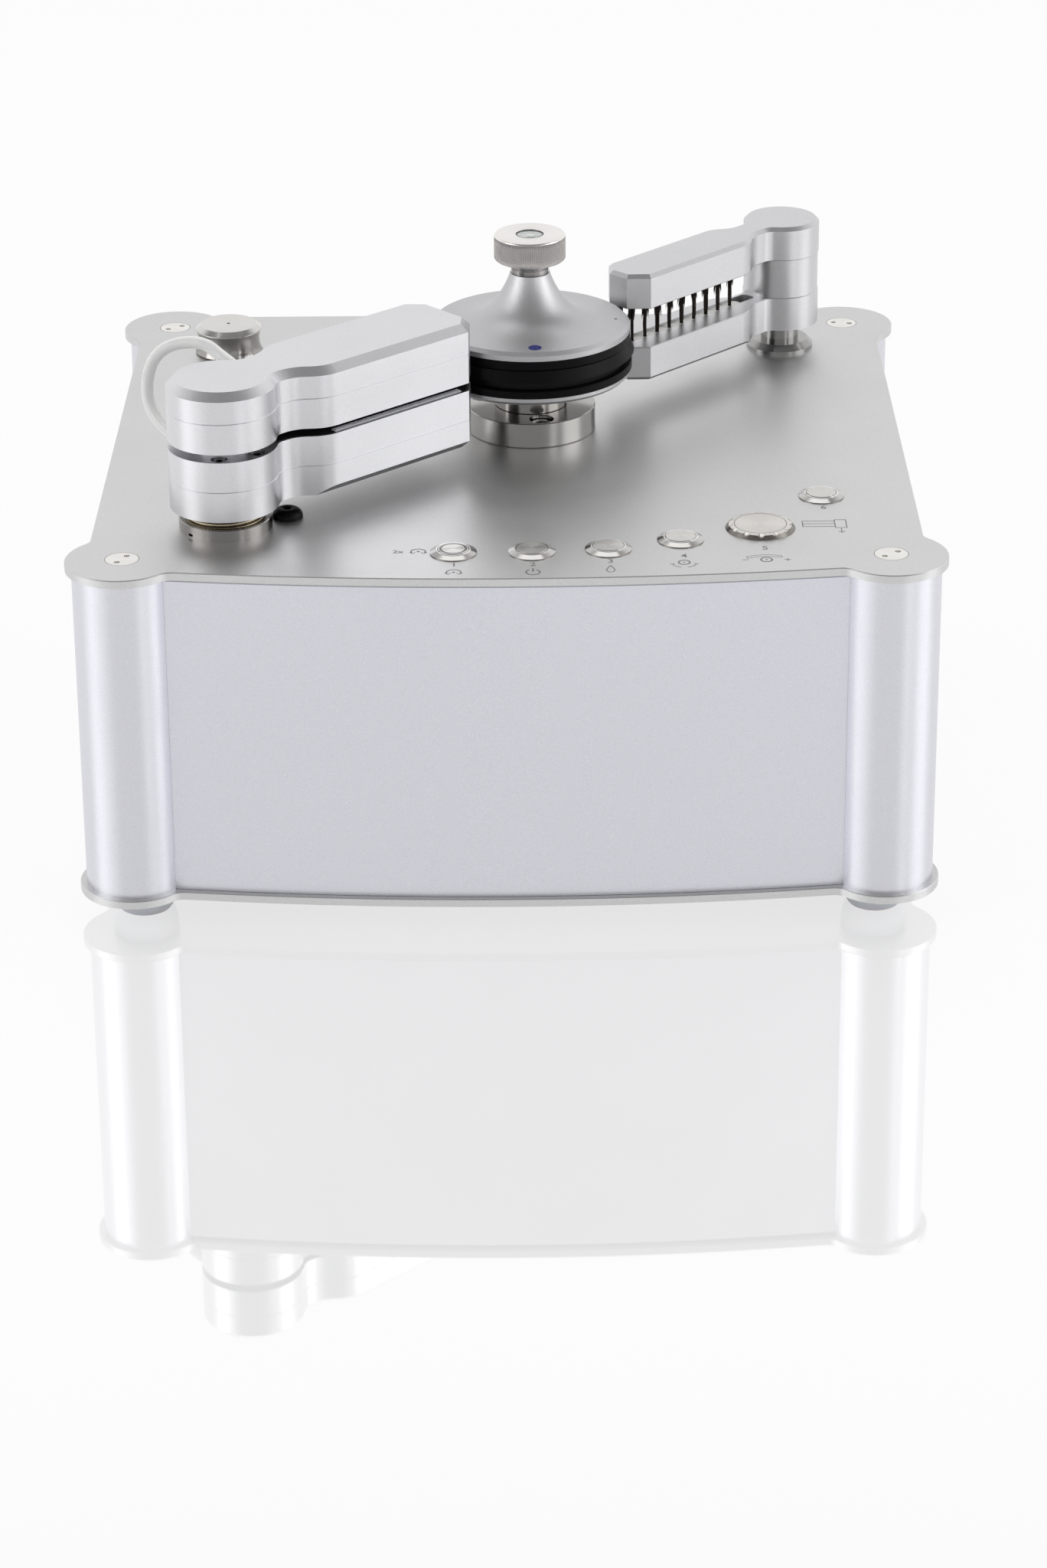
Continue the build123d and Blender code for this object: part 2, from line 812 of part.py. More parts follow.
keep("clamp_body", clamp_body.part)
keep("clamp_inlay", clamp_inlay.part)

press_radius = pad_radius - press_inset
band_bottom = clamp_bottom - rubber_band
press_root = band_bottom - 2 * rubber_groove
clamp_seal = turned(
    spindle_spot,
    [
        (clamp_bore, clamp_bottom),
        (clamp_rim_radius, clamp_bottom),
        (clamp_rim_radius, band_bottom),
        (clamp_rim_radius - rubber_groove, band_bottom - rubber_groove / 2),
        (clamp_rim_radius - rubber_groove / 2, band_bottom - rubber_groove),
        (skirt_radius, skirt_bottom),
        (skirt_radius - skirt_wall, skirt_bottom),
        (pad_radius + skirt_wall, press_root),
        (press_radius, press_root),
        (press_radius, pad_top + slip_gap),
        (clamp_bore, pad_top + slip_gap),
    ],
)
keep("clamp_seal", clamp_seal)

# The knob's stem reaches down the clamp's bore and grips the pin of the spindle.
clamp_knob = turned(
    spindle_spot,
    [
        (pin_radius + running_fit, stem_bottom),
        (stem_radius, stem_bottom),
        (stem_radius, clamp_neck_top + slip_gap),
        (collar_waist, clamp_neck_top + slip_gap),
        (collar_waist, clamp_neck_top + collar_foot),
        (collar_radius, knob_bottom - collar_rim),
        (collar_radius, knob_bottom),
        (knob_radius - knob_chamfer, knob_bottom),
        (knob_radius, knob_bottom + knob_chamfer),
        (knob_radius, knob_top - knob_chamfer),
        (knob_radius - knob_chamfer, knob_top),
        (level_radius + running_fit, knob_top),
        (level_radius + running_fit, knob_top - level_depth),
        (0, knob_top - level_depth),
        (0, pin_top + soft_gap),
        (pin_radius + running_fit, pin_top + soft_gap),
    ],
)
keep("clamp_knob", clamp_knob)

bubble_level = turned(
    spindle_spot,
    [
        (0, knob_top - level_depth),
        (level_radius, knob_top - level_depth),
        (level_radius, knob_top - edge_break),
        (level_radius - edge_break, knob_top),
        (0, knob_top),
    ],
)
keep("bubble_level", bubble_level)

# Belt drive: a wide pulley on the platter's shaft, a small one on the motor and a flat belt round both.
belt_top = -pulley_top
belt_bottom = belt_top - belt_width


# A flanged pulley with a hub that reaches up above it.
def pulley(spot, radius, bore, reach):
    hub = bore + pulley_hub_wall
    top = belt_top + pulley_flange
    return turned(
        spot,
        [
            (bore, top + reach),
            (hub, top + reach),
            (hub, top),
            (radius + pulley_lip, top),
            (radius + pulley_lip, belt_top + slip_gap),
            (radius, belt_top + slip_gap),
            (radius, belt_bottom - slip_gap),
            (radius + pulley_lip, belt_bottom - slip_gap),
            (radius + pulley_lip, belt_bottom - pulley_flange),
            (bore, belt_bottom - pulley_flange),
        ],
    )


keep("platter_pulley", pulley(spindle_spot, big_pulley_radius, shaft_radius, platter_hub_reach))

motor_face = belt_bottom - pulley_flange - motor_shaft_rise
with BuildPart() as motor_pulley:
    add(pulley(motor_spot, small_pulley_radius, 0, small_hub_reach))
    with BuildSketch(level_plane(motor_spot, belt_bottom - pulley_flange)):
        Circle(motor_shaft_radius)
    extrude(amount=-motor_shaft_rise - motor_shaft_bite)
keep("motor_pulley", motor_pulley.part)

belt_inner = slip_gap / 2
with BuildPart() as drive_belt:
    with BuildSketch(level_plane(spindle_spot, belt_bottom)):
        Circle(big_pulley_radius + belt_inner + belt_thickness)
        with Locations(belt_run):
            Circle(small_pulley_radius + belt_inner + belt_thickness)
        make_hull()
    extrude(amount=belt_width)
    with BuildSketch(level_plane(spindle_spot, belt_bottom)):
        Circle(big_pulley_radius + belt_inner)
        with Locations(belt_run):
            Circle(small_pulley_radius + belt_inner)
        make_hull()
    extrude(amount=belt_width, mode=Mode.SUBTRACT)
keep("drive_belt", drive_belt.part)

# The motor hangs from the deck by a collar on three posts, clear of the belt.
with BuildPart() as platter_motor:
    with BuildSketch(level_plane(motor_spot, motor_face)):
        Circle(motor_radius)
    extrude(amount=-motor_height)
    with BuildSketch(level_plane(motor_spot, motor_face)):
        Circle(motor_post_circle_radius + 2 * motor_post_radius)
    extrude(amount=-motor_collar)
    with BuildSketch(level_plane(motor_spot, motor_face)):
        with PolarLocations(motor_post_circle_radius, 3, 0):
            Circle(motor_post_radius)
    extrude(amount=-motor_face - plate_thickness)
    with Locations((motor_spot[0], motor_spot[1], deck_top + motor_face)):
        Hole(motor_shaft_radius + running_fit, depth=motor_shaft_bite + slip_gap)
keep("platter_motor", platter_motor.part)


# Arm outlines: a round hub, a narrow neck that flares and a long blade with cut corners, along local X.
# With a radius for them, the two corners where the flare meets the blade are rounded too.
def arm_outline(plane, hub, front, back, neck_front, neck_back, neck_end, flare, length, corner, blend, rounding):
    with BuildSketch(plane) as outline:
        with BuildLine():
            Polyline(
                (0, -neck_front),
                (neck_end, -neck_front),
                (neck_end + flare, -front),
                (length - corner, -front),
                (length, -front + corner),
                (length, back - corner),
                (length - corner, back),
                (neck_end + flare, back),
                (neck_end, neck_back),
                (0, neck_back),
                close=True,
            )
        make_face()
        Circle(hub)
        fillet([v for v in outline.vertices() if abs(hypot(v.X, v.Y) - hub) < 0.01 and v.X > 0], arm_blend)
        fillet([v for v in outline.vertices() if abs(v.X - neck_end) < 0.01], blend)
        if rounding:
            fillet([v for v in outline.vertices() if abs(v.X - neck_end - flare) < 0.01], rounding)
    return outline.sketch


def vacuum_outline(height, inset=0.0, rounding=vacuum_rounding):
    outline = arm_outline(
        level_plane(vacuum_spot, height, vacuum_angle),
        vacuum_hub,
        vacuum_front,
        vacuum_back,
        vacuum_neck_front,
        vacuum_neck_back,
        vacuum_neck_end,
        vacuum_flare,
        vacuum_length,
        vacuum_corner,
        vacuum_blend,
        rounding,
    )
    return offset(outline, amount=-inset, mode=Mode.PRIVATE) if inset else outline


def brush_outline(height, rounding=brush_rounding):
    return arm_outline(
        level_plane(brush_spot, height, brush_angle),
        brush_hub,
        brush_half,
        brush_half,
        brush_neck,
        brush_neck,
        brush_neck_end,
        brush_flare,
        brush_length,
        brush_corner,
        brush_blend,
        rounding,
    )


# The line edges round the blade of an arm, among a face's edges, for its lower bevel.
def blade_edges(face, plane, blade_start):
    return [
        e
        for e in face.edges().filter_by(GeomType.LINE)
        if min(plane.to_local_coords(e @ 0).X, plane.to_local_coords(e @ 1).X) > blade_start - 0.01
    ]


# The upright edges where the flare of an arm meets its blade.
def flare_edges(shell, plane, blade_start):
    return [e for e in shell.edges().filter_by(Axis.Z) if abs(plane.to_local_coords(e @ 0).X - blade_start) < 0.01]


# A straight strip along the vacuum arm, at a height, between two distances from the pivot.
def arm_strip(height, start, end, middle, width):
    with BuildSketch(level_plane(vacuum_spot, height, vacuum_angle)) as strip:
        with Locations(((start + end) / 2, middle)):
            Rectangle(end - start, width)
    return strip.sketch


arm_middle = (vacuum_back - vacuum_front) / 2
duct_end = vacuum_length - duct_margin
pile_end = vacuum_length - pile_margin
blade_start = vacuum_neck_end + vacuum_flare
sleeve_end = -plate_thickness - sleeve_drop
tube_collar_top = sleeve_end - slip_gap
tube_hole = tube_radius + running_fit
lower_seam = vacuum_bottom + vacuum_shell
upper_seam = upper_bottom + vacuum_shell
pad_floor = lower_top - arm_pad_thickness
pad_rim = vacuum_hub - arm_pad_inset / 2
hose_low_wall = side_plane(vacuum_spot, hose_low_angle, vacuum_hub, hose_low)
hose_high_origin = level_plane(vacuum_spot, hose_high, vacuum_angle).from_local_coords(
    (hose_high_reach, vacuum_neck_back, 0)
)
hose_high_wall = Plane(
    origin=hose_high_origin,
    x_dir=(0, 0, 1),
    z_dir=level_plane(vacuum_spot, 0, vacuum_angle).y_dir,
)

# The radius of each bend of a route of straight runs, as large as the runs beside it allow.
def bend_radii(points):
    radii = []
    for before, corner, after in zip(points, points[1:], points[2:]):
        run_in = Vector(corner) - Vector(before)
        run_out = Vector(after) - Vector(corner)
        half_turn = radians(run_in.get_angle(run_out)) / 2
        radii.append(bend_share * min(run_in.length, run_out.length) / tan(half_turn))
    return radii


hose_points = [
    tuple(hose_high_wall.offset(soft_gap).origin),
    *[(vacuum_x + x, vacuum_y + y, deck_top + h) for x, y, h in hose_middle],
    tuple(hose_low_wall.offset(soft_gap).origin),
]
hose_bends = bend_radii(hose_points)
# The nozzle that one end of the hose is pushed over, in the hose's own direction there.
def nozzle_plane(end, neighbour):
    return Plane(origin=end, z_dir=Vector(neighbour) - Vector(end))


with BuildPart() as vacuum_ring:
    add(
        turned(
            vacuum_spot,
            [
                (tube_hole, sleeve_end),
                (sleeve_radius, sleeve_end),
                (sleeve_radius, 0),
                (ring_radius, 0),
                (ring_radius, ring_height - edge_break),
                (ring_radius - edge_break, ring_height),
                (ring_recess, ring_height),
                (ring_recess, ring_floor),
                (sleeve_radius, ring_floor),
                (sleeve_radius, ring_height),
                (tube_hole, ring_height),
            ],
        )
    )
    with BuildSketch(side_plane(vacuum_spot, set_slot_angle, ring_radius, set_slot_z)):
        SlotOverall(set_slot_length, set_slot_width, rotation=90)
    extrude(amount=ring_recess - ring_radius, mode=Mode.SUBTRACT)
keep("vacuum_ring", vacuum_ring.part)

with BuildPart() as vacuum_tube:
    add(
        turned(
            vacuum_spot,
            [
                (tube_bore, -tube_drop),
                (tube_radius, -tube_drop),
                (tube_radius, tube_collar_top - collar_height),
                (tube_radius + collar_height, tube_collar_top - collar_height),
                (tube_radius + collar_height, tube_collar_top),
                (tube_radius, tube_collar_top),
                (tube_radius, tube_top),
                (tube_bore, tube_top),
            ],
        )
    )
    for port_height in (lower_seam - duct_depth / 2, upper_seam + duct_depth / 2):
        with BuildSketch(side_plane(vacuum_spot, vacuum_angle, 0, port_height)):
            Circle(port_radius)
        extrude(amount=tube_radius, mode=Mode.SUBTRACT)
keep("vacuum_tube", vacuum_tube.part)

# Coil spring between the ring and the hub.
spring_low = ring_floor + spring_wire
spring_high = vacuum_bottom - spring_wire - slip_gap
spring_rise = spring_high - spring_low
with BuildPart() as arm_spring:
    with BuildLine(level_plane(vacuum_spot, spring_low)) as coil:
        Helix(pitch=spring_rise / spring_turns, height=spring_rise, radius=spring_radius)
    with BuildSketch(Plane(origin=coil.line @ 0, z_dir=coil.line % 0)):
        Circle(spring_wire)
    sweep()
keep("arm_spring", arm_spring.part)

# Lower half of the vacuum arm: a cover that holds the duct and a body with the slit into the gap above.
with BuildPart() as vacuum_lower_cover:
    extrude(vacuum_outline(vacuum_bottom, rounding=0), amount=vacuum_shell)
    arm_plane = level_plane(vacuum_spot, vacuum_bottom, vacuum_angle)
    cover_face = vacuum_lower_cover.faces().sort_by(Axis.Z)[0]
    chamfer(blade_edges(cover_face, arm_plane, blade_start), vacuum_chamfer)
    fillet(flare_edges(vacuum_lower_cover, arm_plane, blade_start), vacuum_rounding)
    chamfer(vacuum_lower_cover.faces().sort_by(Axis.Z)[-1].edges(), seam_break)
    duct = arm_strip(lower_seam, duct_start, duct_end, arm_middle, duct_width)
    extrude(duct, amount=-duct_depth, mode=Mode.SUBTRACT)
    with Locations((vacuum_x, vacuum_y, deck_top + lower_seam)):
        Hole(tube_hole)
keep("vacuum_lower_cover", vacuum_lower_cover.part)

with BuildPart() as vacuum_lower_body:
    extrude(vacuum_outline(lower_seam), amount=vacuum_shell)
    chamfer(vacuum_lower_body.faces().sort_by(Axis.Z)[0].edges(), seam_break)
    slit = arm_strip(lower_seam, slit_start, duct_end, arm_middle, slit_width)
    extrude(slit, amount=vacuum_shell, mode=Mode.SUBTRACT)
    extrude(vacuum_outline(pad_floor, arm_pad_inset), amount=arm_pad_thickness, mode=Mode.SUBTRACT)
    with BuildSketch(level_plane(vacuum_spot, pad_floor)):
        Circle(pad_rim)
    extrude(amount=arm_pad_thickness)
    with BuildSketch(level_plane(vacuum_spot, lower_top)):
        Circle(hub_spacer_radius)
    extrude(amount=vacuum_gap)
    with BuildSketch(nozzle_plane(hose_points[-1], hose_points[-2]).offset(-nozzle_root)):
        Circle(nozzle_radius)
    extrude(amount=nozzle_root + nozzle_length)
    with Locations((vacuum_x, vacuum_y, deck_top + upper_bottom)):
        Hole(tube_hole)
    with Locations((vacuum_x, vacuum_y, deck_top + lower_top)):
        with PolarLocations(hub_screw_circle_radius, hub_screw_count, hub_screw_first, hub_screw_sweep, endpoint=True):
            CounterBoreHole(
                hub_screw_radius + running_fit,
                hub_screw_pocket,
                hub_screw_recess + hub_screw_head_height,
                depth=hub_screw_recess + hub_screw_head_height + hub_screw_bite,
            )
keep("vacuum_lower_body", vacuum_lower_body.part)

hub_screw_seat = lower_top - hub_screw_recess - hub_screw_head_height
with BuildPart() as hub_screws:
    with BuildSketch(level_plane(vacuum_spot, hub_screw_seat)):
        with PolarLocations(hub_screw_circle_radius, hub_screw_count, hub_screw_first, hub_screw_sweep, endpoint=True):
            Circle(hub_screw_head)
    extrude(amount=hub_screw_head_height)
    with BuildSketch(level_plane(vacuum_spot, hub_screw_seat)):
        with PolarLocations(hub_screw_circle_radius, hub_screw_count, hub_screw_first, hub_screw_sweep, endpoint=True):
            Circle(hub_screw_radius)
    extrude(amount=-hub_screw_bite)
    with BuildSketch(level_plane(vacuum_spot, hub_screw_seat + hub_screw_head_height)):
        with PolarLocations(hub_screw_circle_radius, hub_screw_count, hub_screw_first, hub_screw_sweep, endpoint=True):
            RegularPolygon(hub_screw_radius, 6)
    extrude(amount=-hub_screw_head_height / 2, mode=Mode.SUBTRACT)
keep("hub_screws", hub_screws.part)

# Upper half: the same the other way up.
with BuildPart() as vacuum_upper_body:
    extrude(vacuum_outline(upper_bottom), amount=vacuum_shell)
    chamfer(vacuum_upper_body.faces().sort_by(Axis.Z)[-1].edges(), seam_break)
    slit = arm_strip(upper_bottom, slit_start, duct_end, arm_middle, slit_width)
    extrude(slit, amount=vacuum_shell, mode=Mode.SUBTRACT)
    extrude(vacuum_outline(upper_bottom, arm_pad_inset), amount=arm_pad_thickness, mode=Mode.SUBTRACT)
    with BuildSketch(level_plane(vacuum_spot, upper_bottom)):
        Circle(pad_rim)
    extrude(amount=arm_pad_thickness)
    with Locations((vacuum_x, vacuum_y, deck_top + upper_seam)):
        Hole(tube_hole)
keep("vacuum_upper_body", vacuum_upper_body.part)

with BuildPart() as vacuum_upper_cover:
    extrude(vacuum_outline(upper_seam), amount=vacuum_shell)
    chamfer(vacuum_upper_cover.faces().sort_by(Axis.Z)[-1].edges(), vacuum_chamfer)
    chamfer(vacuum_upper_cover.faces().sort_by(Axis.Z)[0].edges(), seam_break)
    duct = arm_strip(upper_seam, duct_start, duct_end, arm_middle, duct_width)
    extrude(duct, amount=duct_depth, mode=Mode.SUBTRACT)
    with BuildSketch(level_plane(vacuum_spot, upper_seam)):
        Circle(tube_hole)
    extrude(amount=tube_top + 2 * arm_float - upper_seam, mode=Mode.SUBTRACT)
    with BuildSketch(nozzle_plane(hose_points[0], hose_points[1]).offset(-nozzle_root)):
        Circle(nozzle_radius)
    extrude(amount=nozzle_root + nozzle_length)
keep("vacuum_upper_cover", vacuum_upper_cover.part)


# A black lining in the gap face of one half, around the hub's screws and clear of the slit.
def arm_pad(height):
    with BuildPart() as pad:
        extrude(vacuum_outline(height, arm_pad_inset + slip_gap), amount=arm_pad_thickness)
        with BuildSketch(level_plane(vacuum_spot, height)):
            Circle(pad_rim + slip_gap)
        extrude(amount=arm_pad_thickness, mode=Mode.SUBTRACT)
        slit = arm_strip(height, slit_start, duct_end, arm_middle, slit_width)
        extrude(slit, amount=arm_pad_thickness, mode=Mode.SUBTRACT)
    return pad.part


with BuildPart() as arm_pads:
    add(arm_pad(pad_floor))
    add(arm_pad(upper_bottom))
keep("arm_pads", arm_pads.part)

pile_middle = pile_inset + pile_width / 2 - vacuum_front
with BuildPart() as arm_piles:
    extrude(arm_strip(lower_top, pile_start, pile_end, pile_middle, pile_width), amount=pile_height)
    extrude(arm_strip(upper_bottom, pile_start, pile_end, pile_middle, pile_width), amount=-pile_height)
keep("arm_piles", arm_piles.part)

# The hose is a tube of straight runs and round bends from the upper cover to the lower body.
print("hose bends", [round(r, 1) for r in hose_bends])
with BuildPart() as arm_hose:
    with BuildLine() as hose_path:
        FilletPolyline(*hose_points, radius=hose_bends)
    with BuildSketch(nozzle_plane(hose_points[0], hose_points[1])):
        Circle(hose_radius)
        Circle(hose_bore, mode=Mode.SUBTRACT)
    sweep()
hose_section = arm_hose.faces().sort_by_distance(hose_points[0])[0].area
hose_length = sum(edge.length for edge in hose_path.edges())
print("hose volume over section by length", round(arm_hose.part.volume / (hose_length * hose_section), 4))
keep("arm_hose", arm_hose.part)

# Brush arm: it turns on a hollow post and holds two facing rows of tufts.
brush_post = turned(
    brush_spot,
    [
        (post_bore, -post_drop),
        (column_radius, -post_drop),
        (column_radius, 0),
        (flange_radius, 0),
        (flange_radius, flange_lip),
        (flange_top_radius, flange_top),
        (column_radius, flange_top),
        (column_radius, brush_bottom - slip_gap),
        (spigot_radius, brush_bottom - slip_gap),
        (spigot_radius, spigot_top),
        (post_bore, spigot_top),
    ],
)
keep("brush_post", brush_post)

tuft_spots = [(tuft_first + i * tuft_pitch, slot_offset) for i in range(tuft_count)]
lower_strip_top = brush_lower_top - strip_recess
upper_strip_bottom = brush_upper_bottom + strip_recess


# The long slot in a gap face, or its filling when it starts further out.
def brush_slot(height, start):
    with BuildSketch(level_plane(brush_spot, height, brush_angle)) as slot:
        with Locations(((start + slot_end) / 2, slot_offset)):
            RectangleRounded(slot_end - start, slot_width, slot_corner)
    return slot.sketch


brush_blade = brush_neck_end + brush_flare
with BuildPart() as brush_lower:
    extrude(brush_outline(brush_bottom, rounding=0), amount=brush_plate)
    brush_plane = level_plane(brush_spot, brush_bottom, brush_angle)
    chamfer(blade_edges(brush_lower.faces().sort_by(Axis.Z)[0], brush_plane, brush_blade), brush_chamfer)
    fillet(flare_edges(brush_lower, brush_plane, brush_blade), brush_rounding)
    chamfer(brush_lower.faces().sort_by(Axis.Z)[-1].edges(), edge_break)
    extrude(brush_slot(brush_lower_top, slot_start), amount=-slot_depth, mode=Mode.SUBTRACT)
    with Locations((brush_x, brush_y, deck_top + brush_lower_top)):
        Hole(spigot_radius + running_fit)
keep("brush_lower", brush_lower.part)

with BuildPart() as brush_upper:
    extrude(brush_outline(brush_upper_bottom), amount=brush_plate)
    chamfer(brush_upper.faces().sort_by(Axis.Z)[-1].edges(), brush_chamfer)
    chamfer(brush_upper.faces().sort_by(Axis.Z)[0].edges(), edge_break)
    extrude(brush_slot(brush_upper_bottom, slot_start), amount=slot_depth, mode=Mode.SUBTRACT)
    with BuildSketch(level_plane(brush_spot, brush_upper_bottom)):
        Circle(spigot_radius + running_fit)
    extrude(amount=spigot_top + slip_gap - brush_upper_bottom, mode=Mode.SUBTRACT)
keep("brush_upper", brush_upper.part)

with BuildPart() as brush_spacer:
    with BuildSketch(level_plane(brush_spot, brush_lower_top)):
        Circle(brush_spacer_radius)
        Circle(spigot_radius + running_fit, mode=Mode.SUBTRACT)
    extrude(amount=brush_spacer_height)
keep("brush_spacer", brush_spacer.part)

tuft_hole = tuft_root_radius + running_fit
with BuildPart() as brush_strips:
    lower_strip = brush_slot(brush_lower_top - slot_depth, strip_start)
    extrude(lower_strip, amount=slot_depth - strip_recess)
    with BuildSketch(level_plane(brush_spot, lower_strip_top, brush_angle)):
        with Locations(*tuft_spots):
            Circle(tuft_hole)
    extrude(amount=-tuft_root_depth, mode=Mode.SUBTRACT)
    upper_strip = brush_slot(upper_strip_bottom, strip_start)
    extrude(upper_strip, amount=slot_depth - strip_recess)
    with BuildSketch(level_plane(brush_spot, upper_strip_bottom, brush_angle)):
        with Locations(*tuft_spots):
            Circle(tuft_hole)
    extrude(amount=tuft_root_depth, mode=Mode.SUBTRACT)
keep("brush_strips", brush_strips.part)

tuft_gap_low = tuft_meeting - soft_gap / 2 - lower_strip_top
tuft_gap_high = upper_strip_bottom - tuft_meeting - soft_gap / 2
level_up = (Align.CENTER, Align.CENTER, Align.MIN)
level_down = (Align.CENTER, Align.CENTER, Align.MAX)
with BuildPart() as brush_tufts:
    with Locations(level_plane(brush_spot, lower_strip_top, brush_angle)):
        with Locations(*tuft_spots):
            Cylinder(tuft_root_radius, tuft_root_depth, align=level_down)
            Cone(tuft_root_radius, tuft_tip_radius, tuft_gap_low, align=level_up)
    with Locations(level_plane(brush_spot, upper_strip_bottom, brush_angle)):
        with Locations(*tuft_spots):
            Cylinder(tuft_root_radius, tuft_root_depth, align=level_up)
            Cone(tuft_flare_radius, tuft_root_radius, tuft_gap_high, align=level_down)
keep("brush_tufts", brush_tufts.part)

# Controls: five push buttons, each in a bezel with its switch below the deck.
with BuildPart() as button_bezels:
    for spot in button_spots.values():
        add(
            turned(
                spot,
                [
                    (bezel_bore, bezel_height),
                    (bezel_top_radius - bezel_rim_break, bezel_height),
                    (bezel_top_radius, bezel_height - bezel_rim_break),
                    (bezel_radius, bezel_lip),
                    (bezel_radius, 0),
                    (barrel_radius, 0),
                    (barrel_radius, -barrel_drop),
                    (button_stem + running_fit, -barrel_drop),
                    (button_stem + running_fit, -barrel_floor),
                    (button_shoulder + running_fit, -barrel_floor),
                    (button_shoulder + running_fit, -bezel_lip_depth),
                    (bezel_bore, -bezel_lip_depth),
                ],
            )
        )
keep("button_bezels", button_bezels.part)

shoulder_top = -bezel_lip_depth - slip_gap
shoulder_bottom = shoulder_top - button_shoulder_height
for button_name, spot in button_spots.items():
    button = turned(
        spot,
        [
            (0, shoulder_bottom - button_stem_length),
            (button_stem, shoulder_bottom - button_stem_length),
            (button_stem, shoulder_bottom),
            (button_shoulder, shoulder_bottom),
            (button_shoulder, shoulder_top),
            (button_radius, shoulder_top),
            (button_radius, button_top - seam_break),
            (button_radius - seam_break, button_top),
            (0, button_top),
        ],
    )
    keep(f"{button_name}_button", button)

# Speed dial: a low knob with scoops round its brow and a fine line round its face, sunk into the deck.
with BuildPart() as speed_dial:
    add(
        turned(
            dial_spot,
            [
                (0, -dial_sink),
                (dial_radius, -dial_sink),
                (dial_radius, dial_skirt),
                (dial_brow_radius, dial_brow),
                (dial_line_radius + dial_line_depth, dial_top),
                (dial_line_radius, dial_top - dial_line_depth),
                (dial_line_radius - dial_line_depth, dial_top),
                (0, dial_top),
            ],
        )
    )
    with BuildSketch(level_plane(dial_spot, -dial_sink)):
        Circle(dial_shaft_radius)
    extrude(amount=dial_sink - plate_thickness - dial_shaft_bite)
    with Locations((dial_x, dial_y, deck_top + scoop_height)):
        with PolarLocations(scoop_circle_radius, dial_scoops, dial_scoop_first):
            Cylinder(scoop_radius, scoop_length, rotation=(0, 90 + scoop_tilt, 0), mode=Mode.SUBTRACT)
keep("speed_dial", speed_dial.part)

with BuildPart() as dial_body:
    with BuildSketch(level_plane(dial_spot, -plate_thickness)):
        Circle(dial_body_radius)
        Circle(dial_shaft_radius + running_fit, mode=Mode.SUBTRACT)
    extrude(amount=-dial_body_height)
keep("dial_body", dial_body.part)

filler_brow = filler_height - filler_brow_drop
filler_foot = slip_gap + filler_foot_bevel
with BuildPart() as filler_cap:
    with BuildSketch(profile_plane(filler_spot)):
        with BuildLine():
            Polyline(
                (filler_radius, filler_brow),
                (filler_radius, filler_brow + edge_break),
                (filler_face_radius, filler_height),
                (0, filler_height),
                (0, -filler_plug_drop),
                (filler_plug_radius, -filler_plug_drop),
                (filler_plug_radius, slip_gap),
                (filler_base_radius - filler_foot_bevel, slip_gap),
                (filler_base_radius, filler_foot),
            )
            ThreePointArc(
                (filler_base_radius, filler_foot),
                (filler_waist, filler_brow / 2),
                (filler_radius, filler_brow),
            )
        make_face()
    revolve(axis=axis_at(filler_spot))
    with Locations((filler_x, filler_y, deck_top + filler_height)):
        Hole(filler_dimple, depth=filler_dimple * 2)
keep("filler_cap", filler_cap.part)

# Rubber grommet: a dome above the deck, a neck through it and a rim below.
with BuildPart() as grommet:
    with BuildSketch(profile_plane(grommet_spot)):
        with BuildLine():
            Polyline(
                (grommet_radius, 0),
                (grommet_neck, 0),
                (grommet_neck, -plate_thickness),
                (grommet_radius, -plate_thickness),
                (grommet_radius, -plate_thickness - grommet_flange),
                (grommet_hole, -plate_thickness - grommet_flange),
                (grommet_hole, grommet_height - grommet_mouth + grommet_hole),
                (grommet_mouth, grommet_height),
            )
            ThreePointArc(
                (grommet_mouth, grommet_height),
                (grommet_radius * grommet_shoulder[0], grommet_height * grommet_shoulder[1]),
                (grommet_radius, 0),
            )
        make_face()
    revolve(axis=axis_at(grommet_spot))
keep("grommet", grommet.part)


# A rectangle on the bottom plate from its four sides.
def floor_rectangle(left, right, front, rear):
    with BuildSketch(Plane.XY.offset(body_bottom)) as shape:
        with Locations(((left + right) / 2, (front + rear) / 2)):
            Rectangle(right - left, rear - front)
    return shape.sketch


# Tank for the used liquid, with a neck that the vacuum tube turns in and a drain through the rear panel.
waste_left = vacuum_x - waste_left_reach
waste_front = vacuum_y - waste_front_reach
waste_top = body_bottom + waste_height
waste_neck_top = deck_top + sleeve_end - waste_neck_gap
neck_hole = tube_radius + slip_gap
with BuildPart() as waste_tank:
    extrude(floor_rectangle(waste_left, waste_right, waste_front, waste_rear), amount=waste_height)
    with BuildSketch(Plane.XY.offset(waste_top)):
        with Locations(vacuum_spot):
            Circle(neck_hole + waste_neck_wall)
    extrude(amount=waste_neck_top - waste_top)
    with BuildSketch(Plane(origin=(drain_x, waste_rear - tank_wall, drain_z), z_dir=(0, 1, 0))):
        Circle(drain_radius)
    extrude(amount=rear_face + drain_reach - waste_rear + tank_wall)
    inner = floor_rectangle(
        waste_left + tank_wall, waste_right - tank_wall, waste_front + tank_wall, waste_rear - tank_wall
    )
    extrude(inner.moved(Location((0, 0, tank_wall))), amount=waste_height - 2 * tank_wall, mode=Mode.SUBTRACT)
    with BuildSketch(Plane(origin=(drain_x, rear_face + drain_reach, drain_z), z_dir=(0, -1, 0))):
        Circle(drain_bore)
    extrude(amount=rear_face + drain_reach - waste_rear + 2 * tank_wall, mode=Mode.SUBTRACT)
    with Locations((vacuum_x, vacuum_y, waste_neck_top)):
        Hole(neck_hole, depth=waste_neck_top - waste_top + 2 * tank_wall)
keep("waste_tank", waste_tank.part)

